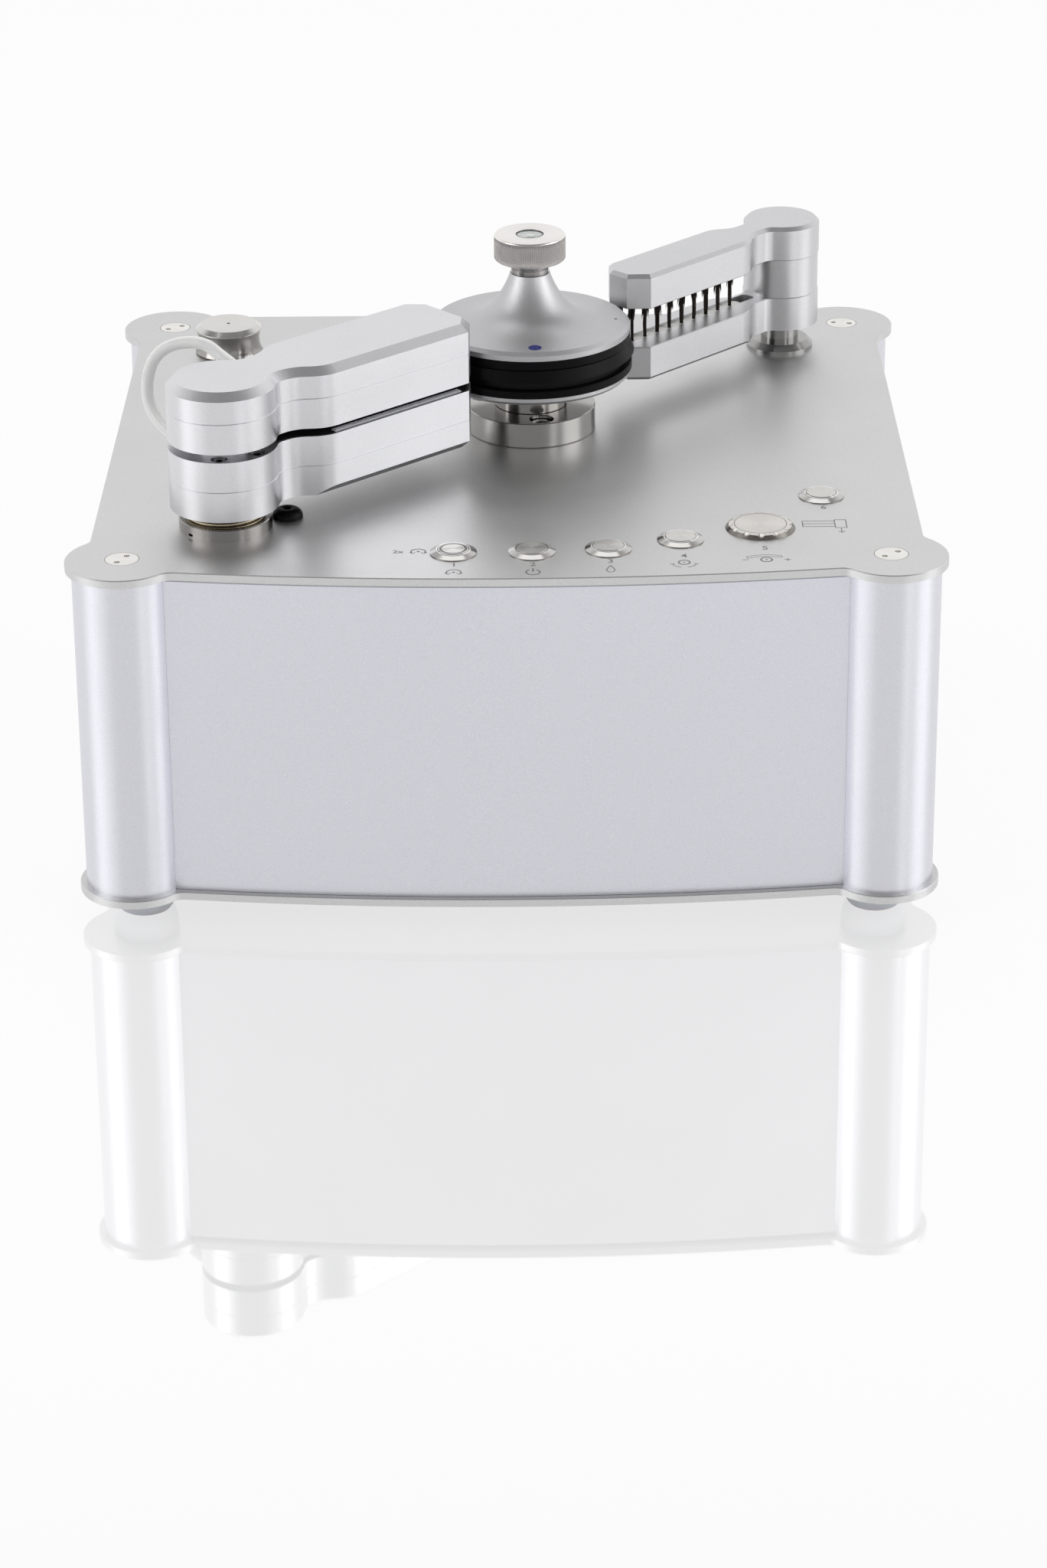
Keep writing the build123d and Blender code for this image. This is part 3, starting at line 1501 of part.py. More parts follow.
# Tank for the fresh liquid: its neck comes up through the deck under the filler cap.
clean_top = body_bottom + clean_height
filler_bore = filler_plug_radius + running_fit
with BuildPart() as clean_tank:
    extrude(floor_rectangle(clean_left, clean_right, clean_front, clean_rear), amount=clean_height)
    with BuildSketch(Plane.XY.offset(clean_top)):
        with Locations(filler_spot):
            Circle(filler_plug_radius + filler_neck_wall + running_fit)
    extrude(amount=deck_top - clean_top)
    inner = floor_rectangle(
        clean_left + tank_wall, clean_right - tank_wall, clean_front + tank_wall, clean_rear - tank_wall
    )
    extrude(inner.moved(Location((0, 0, tank_wall))), amount=clean_height - 2 * tank_wall, mode=Mode.SUBTRACT)
    with Locations((filler_x, filler_y, deck_top)):
        Hole(filler_bore, depth=deck_top - clean_top + 2 * tank_wall)
keep("clean_tank", clean_tank.part)

with BuildPart() as vacuum_turbine:
    with BuildSketch(Plane.XY.offset(body_bottom)):
        with Locations(turbine_spot):
            Circle(turbine_radius)
    extrude(amount=turbine_height)
    chamfer(vacuum_turbine.faces().sort_by(Axis.Z)[-1].edges(), turbine_rib)
    with BuildSketch(Plane.XY.offset(body_bottom + turbine_height)):
        with Locations(turbine_spot):
            Circle(turbine_top_radius)
    extrude(amount=turbine_top - turbine_height)
    chamfer(vacuum_turbine.faces().sort_by(Axis.Z)[-1].edges(), turbine_rib)
keep("vacuum_turbine", vacuum_turbine.part)

with BuildPart() as liquid_pump:
    with BuildSketch(Plane.XY.offset(body_bottom)):
        with Locations(pump_spot):
            Rectangle(pump_width, pump_depth)
    extrude(amount=pump_height)
    with BuildSketch(Plane.XY.offset(body_bottom + pump_height)):
        with Locations(brush_spot):
            Circle(riser_radius)
    extrude(amount=deck_top - post_drop - soft_gap - body_bottom - pump_height)
keep("liquid_pump", liquid_pump.part)

with BuildPart() as power_supply:
    with BuildSketch(Plane.XY.offset(body_bottom)):
        with Locations(supply_spot):
            with GridLocations(supply_width - 4 * supply_foot, supply_depth - 4 * supply_foot, 2, 2):
                Circle(supply_foot)
    extrude(amount=supply_foot)
    with BuildSketch(Plane.XY.offset(body_bottom + supply_foot)):
        with Locations(supply_spot):
            Rectangle(supply_width, supply_depth)
    extrude(amount=supply_height)
    chamfer(power_supply.faces().sort_by(Axis.Z)[-1].edges(), edge_break)
keep("power_supply", power_supply.part)

# Control board: it hangs from the deck on four posts, with its larger parts on top.
with BuildPart() as control_board:
    with BuildSketch(level_plane(board_spot, -plate_thickness - board_drop)):
        Rectangle(board_width, board_depth)
    extrude(amount=board_thickness)
    with BuildSketch(level_plane(board_spot, -plate_thickness - board_drop)):
        with GridLocations(board_width - 2 * board_post_inset, board_depth - 2 * board_post_inset, 2, 2):
            Circle(board_post_radius)
    extrude(amount=board_drop)
    for x, y, width, depth, height in chip_sizes:
        with BuildSketch(level_plane(board_spot, board_thickness - plate_thickness - board_drop)):
            with Locations((x, y)):
                Rectangle(width, depth)
        extrude(amount=height)
keep("control_board", control_board.part)

# Mains inlet: a socket with its rim outside the rear panel, and three flat pins that stand on its floor.
inlet_front = Plane(origin=(inlet_x, rear_face, inlet_z), x_dir=(1, 0, 0), z_dir=(0, -1, 0))
with BuildPart() as mains_inlet:
    with BuildSketch(inlet_front):
        RectangleRounded(inlet_width, inlet_height, inlet_rim)
    extrude(amount=-inlet_flange)
    with BuildSketch(inlet_front):
        Rectangle(inlet_width - 2 * inlet_rim, inlet_height - 2 * inlet_rim)
    extrude(amount=inlet_depth)
    with BuildSketch(inlet_front.offset(-inlet_flange)):
        Rectangle(inlet_socket_width, inlet_socket_height)
    extrude(amount=inlet_socket_depth, mode=Mode.SUBTRACT)
keep("mains_inlet", mains_inlet.part)

with BuildPart() as mains_pins:
    with BuildSketch(inlet_front.offset(inlet_socket_depth - inlet_flange)):
        with GridLocations(inlet_pin_pitch, 0, 3, 1):
            Rectangle(inlet_pin_width, inlet_pin_height)
    extrude(amount=-inlet_pin_length)
keep("mains_pins", mains_pins.part)

print("built", len(os.listdir("parts")), "pieces")
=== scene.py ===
from math import cos, pi, radians, sin

import bmesh
import bpy
import numpy as np
from mathutils import Matrix, Vector


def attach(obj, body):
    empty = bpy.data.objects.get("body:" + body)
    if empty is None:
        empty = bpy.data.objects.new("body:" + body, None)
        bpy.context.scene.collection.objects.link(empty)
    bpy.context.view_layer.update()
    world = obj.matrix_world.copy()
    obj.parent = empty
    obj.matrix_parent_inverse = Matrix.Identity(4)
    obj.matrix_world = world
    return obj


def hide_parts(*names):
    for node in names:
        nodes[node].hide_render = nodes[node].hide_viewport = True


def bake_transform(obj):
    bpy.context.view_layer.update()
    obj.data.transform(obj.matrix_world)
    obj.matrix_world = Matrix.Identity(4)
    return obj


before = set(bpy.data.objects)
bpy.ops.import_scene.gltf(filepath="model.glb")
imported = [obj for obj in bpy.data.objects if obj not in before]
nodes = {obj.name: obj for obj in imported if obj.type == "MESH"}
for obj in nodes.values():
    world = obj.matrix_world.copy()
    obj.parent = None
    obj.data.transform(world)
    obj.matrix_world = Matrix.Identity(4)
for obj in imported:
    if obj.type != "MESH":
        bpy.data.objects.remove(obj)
scene = bpy.context.scene
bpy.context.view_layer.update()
print("solids loaded:", len(nodes))

millimetre = 0.001
deckTop = 0.1824
deckLevel = deckTop / millimetre  # pieces on the deck take their heights from here, in millimetres
chance = np.random.default_rng(7)

# Camera: it stands in front, a little above the machine, and its frame is slid down to take in the floor.
camera = {
    "place": (0.0114, -1.9676, 0.9253),
    "lens": 95.78,  # millimetres, on a film of the width below
    "film": 36,
    "turn": -0.111,  # degrees, as are the next two
    "tilt": 22.476,
    "lean": -0.447,
    "slide": -0.1411,
    "sight": 50,  # metres
}


def placeCamera(values):
    turn, tilt, lean = (radians(values[key]) for key in ("turn", "tilt", "lean"))
    ahead = Vector((sin(turn) * cos(tilt), cos(turn) * cos(tilt), -sin(tilt)))
    level = Vector((cos(turn), -sin(turn), 0))
    upright = level.cross(ahead)
    right = cos(lean) * level + sin(lean) * upright
    above = cos(lean) * upright - sin(lean) * level
    data = bpy.data.cameras.new("camera")
    data.lens = values["lens"]
    data.sensor_width = values["film"]
    data.shift_y = values["slide"]
    data.clip_end = values["sight"]
    view = bpy.data.objects.new("camera", data)
    stance = Matrix((right, above, -ahead)).transposed().to_4x4()
    view.matrix_world = Matrix.Translation(values["place"]) @ stance
    scene.collection.objects.link(view)
    scene.camera = view


placeCamera(camera)
print("camera placed")


def toLinear(code):  # an sRGB hex code as the linear colour that a shader takes
    share = [int(code[i : i + 2], 16) / 255 for i in (1, 3, 5)]
    return [s / 12.92 if s <= 0.04045 else ((s + 0.055) / 1.055) ** 2.4 for s in share] + [1]


def darker(code, share):  # the same colour with only this share of its light
    return [share * light for light in toLinear(code)[:3]] + [1]


def addNode(tree, kind, values=None, links=None, **settings):  # one node with its settings, values and links
    node = tree.nodes.new(kind)
    for name, value in settings.items():
        setattr(node, name, value)
    for socket, value in (values or {}).items():
        node.inputs[socket].default_value = value
    for socket, source in (links or {}).items():
        tree.links.new(source, node.inputs[socket])
    return node


def newMaterial(name):
    material = bpy.data.materials.new(name)
    material.use_nodes = True
    material.node_tree.nodes.clear()
    return material, material.node_tree


def finishMaterial(tree, shader):
    addNode(tree, "ShaderNodeOutputMaterial", links={"Surface": shader.outputs[0]})


# Makes each finish of a family and puts it in the slots of the nodes that wear it.
def dress(makeFinish, finishes):
    for name, (look, *wearers) in finishes.items():
        material = makeFinish(name, **look)
        for wearer in wearers:
            mesh = nodes[wearer].data
            if not mesh.materials:
                mesh.materials.append(material)
            for i in range(len(mesh.materials)):
                mesh.materials[i] = material


# Mottled finish: one colour drifts into another. A fibre or a burnt speck is some hundredths of a millimetre wide,
# and the patches, given in millimetres, are drawn wider so that they show.
def mottled(name, dark, light, patch, look):
    material, tree = newMaterial(name)
    place = addNode(tree, "ShaderNodeTexCoord")
    patches = addNode(
        tree,
        "ShaderNodeTexNoise",
        {"Scale": 1 / (patch * millimetre), "Detail": 2},
        {"Vector": place.outputs["Object"]},
    )
    shade = addNode(
        tree,
        "ShaderNodeMix",
        {"A": toLinear(dark), "B": toLinear(light)},
        {"Factor": patches.outputs[0]},
        data_type="RGBA",
    )
    shader = addNode(tree, "ShaderNodeBsdfPrincipled", look, {"Base Color": shade.outputs["Result"]})
    finishMaterial(tree, shader)
    return material


# Surfaces: a block of points is (pieces, rows, columns, 3), in millimetres from the floor's origin. Each row is a
# closed loop, and points nearer to each other than the weld become one.
def buildPiece(name, points, material, body, smooth=True, weld=0.002):
    count, rows, columns = points.shape[:3]
    index = np.arange(count * rows * columns).reshape(count, rows, columns)
    index = np.concatenate([index, index[:, :, :1]], axis=2)
    corners = (index[:, :-1, :-1], index[:, :-1, 1:], index[:, 1:, 1:], index[:, 1:, :-1])
    faces = np.stack(corners, axis=-1).reshape(-1, 4)
    mesh = bpy.data.meshes.new(name)
    mesh.from_pydata((points.reshape(-1, 3) * millimetre).tolist(), [], faces.tolist())
    shape = bmesh.new()
    shape.from_mesh(mesh)
    bmesh.ops.remove_doubles(shape, verts=shape.verts, dist=weld * millimetre)
    bmesh.ops.dissolve_degenerate(shape, edges=shape.edges, dist=weld * millimetre / 10)
    bmesh.ops.recalc_face_normals(shape, faces=shape.faces)
    shape.to_mesh(mesh)
    shape.free()
    mesh.polygons.foreach_set("use_smooth", [smooth] * len(mesh.polygons))
    mesh.materials.append(material)
    piece = bpy.data.objects.new(name, mesh)
    scene.collection.objects.link(piece)
    if body:  # a piece that is blended between two bodies rides on neither
        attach(piece, body)
    return piece


# Profile: each corner becomes a short quadratic curve that starts and ends at the soft distance from it.
def crispProfile(corners, soft, steps=2):
    corners = np.array(corners, float)
    out = [corners[:1]]
    t = np.linspace(0, 1, steps + 1)[:, None]
    for before, here, after in zip(corners, corners[1:], corners[2:]):
        a = here + (before - here) / np.hypot(*(before - here)) * soft
        b = here + (after - here) / np.hypot(*(after - here)) * soft
        out.append((1 - t) ** 2 * a + 2 * t * (1 - t) * here + t**2 * b)
    out.append(corners[-1:])
    return np.concatenate(out)


# Turned surface: radius and height of each profile point, carried round the axis at a spot.
def turnedPoints(profile, spot, columns):
    angle = np.arange(columns) * 2 * pi / columns
    radius, height = profile[:, 0][:, None], profile[:, 1][:, None]
    x = spot[0] + radius * np.cos(angle)
    y = spot[1] + radius * np.sin(angle)
    return np.stack([x, y, height + 0 * angle], axis=-1)[None]


# Tube or ribbon with closed ends: one more row at each end has all its points in the end's middle.
def closeEnds(points):
    ends = points[[0, -1]].mean(axis=1, keepdims=True) + 0 * points[[0, -1]]
    return np.concatenate([ends[:1], points, ends[1:]])


# Arm's own directions: out along an arm that points the given way from its spot, and aside to the left of it.
def besideArm(spot, turn, out, aside):
    x = spot[0] + out * cos(turn) - aside * sin(turn)
    y = spot[1] + out * sin(turn) + aside * cos(turn)
    return x, y


# Hose: the route's corner points in metres, which the tube's own solid follows too.
hose = {
    "points": [
        (-0.12535, -0.09329, 0.2494),
        (-0.1337, -0.0842, 0.2519),
        (-0.1468, -0.0755, 0.2601),
        (-0.1696, -0.0711, 0.2534),
        (-0.1750, -0.0752, 0.2301),
        (-0.1631, -0.0932, 0.2178),
        (-0.15274, -0.10356, 0.2174),
    ],
    "diameter": 0.006,
    "length": 0.115,
}


# Milky silicone hose: extruded, smooth and soft, see-through only a little, paler where its wall is seen edge on.
def milkySilicone():
    material, tree = newMaterial("milkySiliconeHose")
    place = addNode(tree, "ShaderNodeTexCoord")
    edge = addNode(tree, "ShaderNodeLayerWeight", {"Blend": 0.5})
    wall = addNode(
        tree,
        "ShaderNodeMapRange",
        {"From Min": 0.2, "From Max": 0.6, "To Min": 0.74, "To Max": 1.0},
        {"Value": edge.outputs["Facing"]},
    )
    shade = addNode(
        tree,
        "ShaderNodeMix",
        {"A": toLinear("#E2E3EA"), "B": toLinear("#FBFBF8")},
        {"Factor": wall.outputs[0]},
        data_type="RGBA",
    )
    # The die leaves long faint swells, some 4.5 mm apart.
    swells = addNode(
        tree,
        "ShaderNodeTexNoise",
        {"Scale": 1 / (4.5 * millimetre), "Detail": 2},
        {"Vector": place.outputs["Object"]},
    )
    dent = addNode(
        tree,
        "ShaderNodeBump",
        {"Strength": 0.08, "Distance": 0.2 * millimetre},
        {"Height": swells.outputs[0]},
    )
    shader = addNode(
        tree,
        "ShaderNodeBsdfPrincipled",
        {"Roughness": 0.18, "IOR": 1.43, "Coat Weight": 0.5, "Coat Roughness": 0.08},
        {"Base Color": shade.outputs["Result"], "Alpha": wall.outputs[0], "Normal": dent.outputs[0]},
    )
    finishMaterial(tree, shader)
    return material


def makeHose(values, material):
    curve = bpy.data.curves.new("armHose", "CURVE")
    curve.dimensions = "3D"
    curve.bevel_depth = values["diameter"] / 2
    curve.bevel_resolution = 7
    curve.resolution_u = 24
    curve.use_fill_caps = True
    line = curve.splines.new("NURBS")
    line.points.add(len(values["points"]) - 1)
    for point, place in zip(line.points, values["points"]):
        point.co = (*place, 1)
    line.order_u = 3
    line.use_endpoint_u = True
    curve.materials.append(material)
    piece = bpy.data.objects.new("armHose", curve)
    scene.collection.objects.link(piece)
    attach(piece, "vacuum_arm")
    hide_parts("arm_hose")


makeHose(hose, milkySilicone())
print("hose laid")


lowSpots = {"satin": 0.85, "turned": 0.8, "drawn": 0.78}  # how light the low spots of each metal's skin are


# Satin anodised aluminium: fine bead blasting under a clear oxide gives small even grain and wide soft lights.
def satinAluminium(name, colour, roughness, grain, depth=0.012, drift=0.05):
    material, tree = newMaterial(name)
    place = addNode(tree, "ShaderNodeTexCoord")
    # The blasted pits are 0.1 mm wide; the grain is drawn at a few tenths so that it shows.
    pits = addNode(
        tree,
        "ShaderNodeTexNoise",
        {"Scale": 1 / (grain * millimetre), "Detail": 3, "Roughness": 0.7},
        {"Vector": place.outputs["Object"]},
    )
    clouds = addNode(
        tree,
        "ShaderNodeTexNoise",
        {"Scale": 1 / (45 * millimetre), "Detail": 3},
        {"Vector": place.outputs["Object"]},
    )
    amount = addNode(
        tree,
        "ShaderNodeMapRange",
        {"From Min": 0.35, "From Max": 0.68},
        {"Value": pits.outputs[0]},
    )
    shade = addNode(
        tree,
        "ShaderNodeMix",
        {"A": toLinear(colour), "B": darker(colour, lowSpots["satin"])},
        {"Factor": amount.outputs[0]},
        data_type="RGBA",
    )
    rough = addNode(
        tree,
        "ShaderNodeMapRange",
        {"From Min": 0.3, "From Max": 0.7, "To Min": roughness - drift / 2, "To Max": roughness + drift / 2},
        {"Value": clouds.outputs[0]},
    )
    bump = addNode(
        tree,
        "ShaderNodeBump",
        {"Strength": 0.5, "Distance": depth * millimetre},
        {"Height": pits.outputs[0]},
    )
    shader = addNode(
        tree,
        "ShaderNodeBsdfPrincipled",
        {"Metallic": 1.0},
        {"Base Color": shade.outputs["Result"], "Roughness": rough.outputs[0], "Normal": bump.outputs[0]},
    )
    finishMaterial(tree, shader)
    return material


# The place of each point as seen from its centre; where there are several centres, each point takes the nearest.
def nearestCentre(tree, place, centres):
    centred = None
    for x, y in centres:
        moved = addNode(
            tree,
            "ShaderNodeMapping",
            {"Location": (-x * millimetre, -y * millimetre, 0)},
            {"Vector": place.outputs["Object"]},
        ).outputs[0]
        level = addNode(tree, "ShaderNodeVectorMath", {1: (1, 1, 0)}, {0: moved}, operation="MULTIPLY")
        length = addNode(tree, "ShaderNodeVectorMath", links={0: level.outputs[0]}, operation="LENGTH")
        away = length.outputs["Value"]
        if centred is None:
            centred, near = moved, away
            continue
        nearer = addNode(tree, "ShaderNodeMath", links={0: away, 1: near}, operation="LESS_THAN")
        pick = addNode(
            tree,
            "ShaderNodeMix",
            links={"Factor": nearer.outputs[0], "A": centred, "B": moved},
            data_type="VECTOR",
        )
        near = addNode(tree, "ShaderNodeMath", links={0: away, 1: near}, operation="MINIMUM").outputs[0]
        centred = pick.outputs["Result"]
    return centred


# A band of another tone, between two radii and two heights above the deck.
def toneBand(tree, source, radius, height, zone):
    inner, outer, low, high, tint = zone
    mask = None
    for where, limit, side in (
        (radius, inner, "GREATER_THAN"),
        (radius, outer, "LESS_THAN"),
        (height, deckLevel + low, "GREATER_THAN"),
        (height, deckLevel + high, "LESS_THAN"),
    ):
        inside = addNode(tree, "ShaderNodeMath", {1: limit * millimetre}, {0: where}, operation=side).outputs[0]
        if mask is None:
            mask = inside
        else:
            mask = addNode(tree, "ShaderNodeMath", links={0: mask, 1: inside}, operation="MULTIPLY").outputs[0]
    toned = addNode(
        tree, "ShaderNodeMix", {"B": toLinear(tint)}, {"Factor": mask, "A": source}, data_type="RGBA"
    )
    return toned.outputs["Result"]


# Turned stainless steel: the lathe leaves rings, so lights stretch across them and fan out from the middle.
def turnedSteel(name, centres, colour="#B5B3B0", roughness=0.16, pitch=0.35, stretch=0.75, zones=(), depth=0.02):
    material, tree = newMaterial(name)
    place = addNode(tree, "ShaderNodeTexCoord")
    centred = nearestCentre(tree, place, centres)
    flat = addNode(tree, "ShaderNodeVectorMath", {1: (1, 1, 0)}, {0: centred}, operation="MULTIPLY")
    length = addNode(tree, "ShaderNodeVectorMath", links={0: flat.outputs[0]}, operation="LENGTH")
    radius = length.outputs["Value"]
    along = addNode(
        tree, "ShaderNodeVectorMath", {0: (0, 0, 1)}, {1: flat.outputs[0]}, operation="CROSS_PRODUCT"
    )
    around = addNode(tree, "ShaderNodeVectorMath", links={0: along.outputs[0]}, operation="NORMALIZE")
    height = addNode(tree, "ShaderNodeSeparateXYZ", links={"Vector": centred}).outputs["Z"]
    reach = addNode(tree, "ShaderNodeMath", links={0: radius, 1: height}, operation="ADD")
    # The cut is 0.1 mm a turn; the rings are drawn wider so that they show.
    rings = addNode(
        tree,
        "ShaderNodeTexNoise",
        {"Scale": 1 / (pitch * millimetre), "Detail": 4, "Roughness": 0.8},
        {"W": reach.outputs[0]},
        noise_dimensions="1D",
    )
    shade = addNode(
        tree,
        "ShaderNodeMix",
        {"A": darker(colour, lowSpots["turned"]), "B": toLinear(colour)},
        {"Factor": rings.outputs[0]},
        data_type="RGBA",
    )
    source = shade.outputs["Result"]
    for zone in zones:
        source = toneBand(tree, source, radius, height, zone)
    bump = addNode(
        tree,
        "ShaderNodeBump",
        {"Strength": 0.35, "Distance": depth * millimetre},
        {"Height": rings.outputs[0]},
    )
    rough = addNode(
        tree,
        "ShaderNodeMapRange",
        {"From Min": 0.2, "From Max": 0.8, "To Min": roughness - 0.05, "To Max": roughness + 0.07},
        {"Value": rings.outputs[0]},
    )
    shader = addNode(
        tree,
        "ShaderNodeBsdfPrincipled",
        {"Metallic": 1.0, "Anisotropic": stretch, "Anisotropic Rotation": 0.25},
        {
            "Base Color": source,
            "Roughness": rough.outputs[0],
            "Normal": bump.outputs[0],
            "Tangent": around.outputs[0],
        },
    )
    finishMaterial(tree, shader)
    return material


# Drawn or rolled stock, for screws, wire and the motor's can: the die leaves faint marks of some hundredths of a
# millimetre, which are drawn a millimetre apart so that they show.
def drawnMetal(name, colour, roughness, grain=1.1):
    material, tree = newMaterial(name)
    place = addNode(tree, "ShaderNodeTexCoord")
    lines = addNode(
        tree,
        "ShaderNodeTexNoise",
        {"Scale": 1 / (grain * millimetre), "Detail": 3, "Roughness": 0.6},
        {"Vector": place.outputs["Object"]},
    )
    shade = addNode(
        tree,
        "ShaderNodeMix",
        {"A": darker(colour, lowSpots["drawn"]), "B": toLinear(colour)},
        {"Factor": lines.outputs[0]},
        data_type="RGBA",
    )
    rough = addNode(
        tree,
        "ShaderNodeMapRange",
        {"From Min": 0.3, "From Max": 0.7, "To Min": roughness - 0.05, "To Max": roughness + 0.08},
        {"Value": lines.outputs[0]},
    )
    bump = addNode(
        tree,
        "ShaderNodeBump",
        {"Strength": 0.3, "Distance": 0.02 * millimetre},
        {"Height": lines.outputs[0]},
    )
    shader = addNode(
        tree,
        "ShaderNodeBsdfPrincipled",
        {"Metallic": 1.0},
        {"Base Color": shade.outputs["Result"], "Roughness": rough.outputs[0], "Normal": bump.outputs[0]},
    )
    finishMaterial(tree, shader)
    return material


# Rubbers and plastics: a base colour that drifts a little, with a fine moulded or ground skin. The skin's own grain
# is near 0.05 mm, and it is drawn at a millimetre or so, or more, so that it shows.
def softOrMoulded(name, colour, roughness, grain=1.43, depth=0.03, drift=0.12, specular=0.5, glow=0.0):
    material, tree = newMaterial(name)
    place = addNode(tree, "ShaderNodeTexCoord")
    skin = addNode(
        tree,
        "ShaderNodeTexNoise",
        {"Scale": 1 / (grain * millimetre), "Detail": 4, "Roughness": 0.65},
        {"Vector": place.outputs["Object"]},
    )
    clouds = addNode(
        tree,
        "ShaderNodeTexNoise",
        {"Scale": 1 / (17 * millimetre), "Detail": 2},
        {"Vector": place.outputs["Object"]},
    )
    shade = addNode(
        tree,
        "ShaderNodeMix",
        {"A": darker(colour, 1 - drift), "B": toLinear(colour)},
        {"Factor": clouds.outputs[0]},
        data_type="RGBA",
    )
    bump = addNode(
        tree,
        "ShaderNodeBump",
        {"Strength": 0.4, "Distance": depth * millimetre},
        {"Height": skin.outputs[0]},
    )
    rough = addNode(
        tree,
        "ShaderNodeMapRange",
        {"From Min": 0.3, "From Max": 0.7, "To Min": roughness - 0.06, "To Max": roughness + 0.06},
        {"Value": skin.outputs[0]},
    )
    shader = addNode(
        tree,
        "ShaderNodeBsdfPrincipled",
        {"Specular IOR Level": specular, "Subsurface Weight": glow, "Subsurface Scale": 3 * millimetre},
        {"Base Color": shade.outputs["Result"], "Roughness": rough.outputs[0], "Normal": bump.outputs[0]},
    )
    finishMaterial(tree, shader)
    return material


# Places on the deck, in millimetres from the middle of the machine.
spots = {
    "spindle": (11.9, 9.6),
    "vacuum": (-134.0, -122.3),
    "brush": (144.5, 130.0),
    "filler": (-148.2, 125.7),
    "dial": (120.5, -130.3),
    "auto": (-25.0, -159.0),
    "power": (11.9, -158.6),
    "liquid": (47.8, -155.7),
    "platter": (82.1, -144.8),
    "vacuumKey": (152.1, -89.8),
}
buttonSpots = [spots[key] for key in ("auto", "power", "liquid", "platter", "vacuumKey")]
screwSpots = [(x, y) for x in (-180.0, 180.0) for y in (-164.0, 164.0)]

# Each finish has its look and the nodes that wear it; grain and pitch are in millimetres.
satinFinishes = {
    "satinDeckAluminium": ({"colour": "#DADADA", "roughness": 0.4, "grain": 0.5}, "top_plate", "bottom_plate"),
    "satinPanelAluminium": (
        {"colour": "#E6E6EE", "roughness": 0.4, "grain": 0.45},
        "front_panel",
        "rear_panel",
        "side_panels",
    ),
    "satinPillarAluminium": ({"colour": "#E3E3EA", "roughness": 0.36, "grain": 0.4}, "pillars"),
    "satinArmAluminium": (
        {"colour": "#E0E0E3", "roughness": 0.34, "grain": 0.4},
        "vacuum_lower_cover",
        "vacuum_lower_body",
        "vacuum_upper_body",
        "vacuum_upper_cover",
    ),
    "satinBrushArmAluminium": (
        {"colour": "#D6D6D8", "roughness": 0.36, "grain": 0.5},
        "brush_lower",
        "brush_upper",
        "brush_spacer",
    ),
    "satinClampAluminium": ({"colour": "#CACACC", "roughness": 0.45, "grain": 0.4}, "clamp_body", "platter_disc"),
}

# A zone is a band of another tone: its inner and outer radius, its lowest and highest place and its colour. The
# zones marked below paint shade and highlights that the light would give.
turnedFinishes = {
    "turnedSpindleSteel": ({"centres": [spots["spindle"]]}, "spindle_base", "platter_shaft"),
    "turnedPivotSteel": (
        {"centres": [spots["vacuum"]], "colour": "#A5A29F", "roughness": 0.2},
        "vacuum_ring",
        "vacuum_tube",
    ),
    "turnedPostSteel": ({"centres": [spots["brush"]], "colour": "#A8A7A6", "roughness": 0.15}, "brush_post"),
    "turnedFillerSteel": (
        # The zone is painted shade on the lower side of the cap.
        {"centres": [spots["filler"]], "colour": "#DCDAD7", "zones": [(10, 17.8, 0, 12.6, "#A4A19E")]},
        "filler_cap",
    ),
    "turnedDialSteel": (
        {
            "centres": [spots["dial"]],
            "colour": "#E0DDD8",
            "roughness": 0.26,
            # Painted dark reflection on the skirt below the scallops, and a painted shade line where the top face
            # meets its slope.
            "zones": [(15.0, 22.0, -1, 1.95, "#8B8681"), (12.2, 12.6, 0, 5, "#8B8986")],
        },
        "speed_dial",
    ),
    "turnedAutoCapSteel": (
        {"centres": [spots["auto"]], "colour": "#DAD8D4", "zones": [(5.4, 6.6, 0, 9, "#6C6C6B")]},
        "auto_button",
    ),
    "turnedPowerCapSteel": (
        {"centres": [spots["power"]], "colour": "#DCDAD7", "roughness": 0.3},
        "power_button",
    ),
    "turnedLiquidCapSteel": ({"centres": [spots["liquid"]], "colour": "#D6D4D0"}, "liquid_button"),
    "turnedPlatterCapSteel": ({"centres": [spots["platter"]], "colour": "#D6D4D0"}, "platter_button"),
    "turnedVacuumCapSteel": ({"centres": [spots["vacuumKey"]], "colour": "#D6D4D0"}, "vacuum_button"),
    "turnedBezelSteel": (
        {
            "centres": buttonSpots,
            "colour": "#CFCDCA",
            "roughness": 0.2,
            # A painted highlight ring round each bezel's inner rim, and painted shade round its foot on the deck.
            "zones": [(7.6, 8.2, 1.4, 3, "#F2F1EE"), (10.9, 11.6, -1, 0.5, "#8C8884")],
        },
        "button_bezels",
    ),
    "turnedCapScrewSteel": (
        {
            "centres": screwSpots,
            "colour": "#F4F2EE",
            "roughness": 0.3,
            "stretch": 0.4,
            "zones": [(7.8, 9, -3, 3, "#9A9896")],
        },
        "cap_screws",
    ),
}

drawnFinishes = {
    "blackenedScrewSteel": ({"colour": "#5A5C60", "roughness": 0.35}, "hub_screws"),
    "plainScrewSteel": ({"colour": "#BDBCBA", "roughness": 0.3}, "base_screws", "foot_screws", "mains_pins"),
    "bushBronze": ({"colour": "#B08D57", "roughness": 0.35}, "spindle_bush"),
    "platedMotorCan": (
        {"colour": "#A9ABAD", "roughness": 0.32},
        "platter_motor",
        "motor_pulley",
        "platter_pulley",
    ),
    "pressedSupplyCase": ({"colour": "#A4A6A8", "roughness": 0.4}, "power_supply"),
}

dress(satinAluminium, satinFinishes)
dress(turnedSteel, turnedFinishes)
dress(drawnMetal, drawnFinishes)
print("metals given")

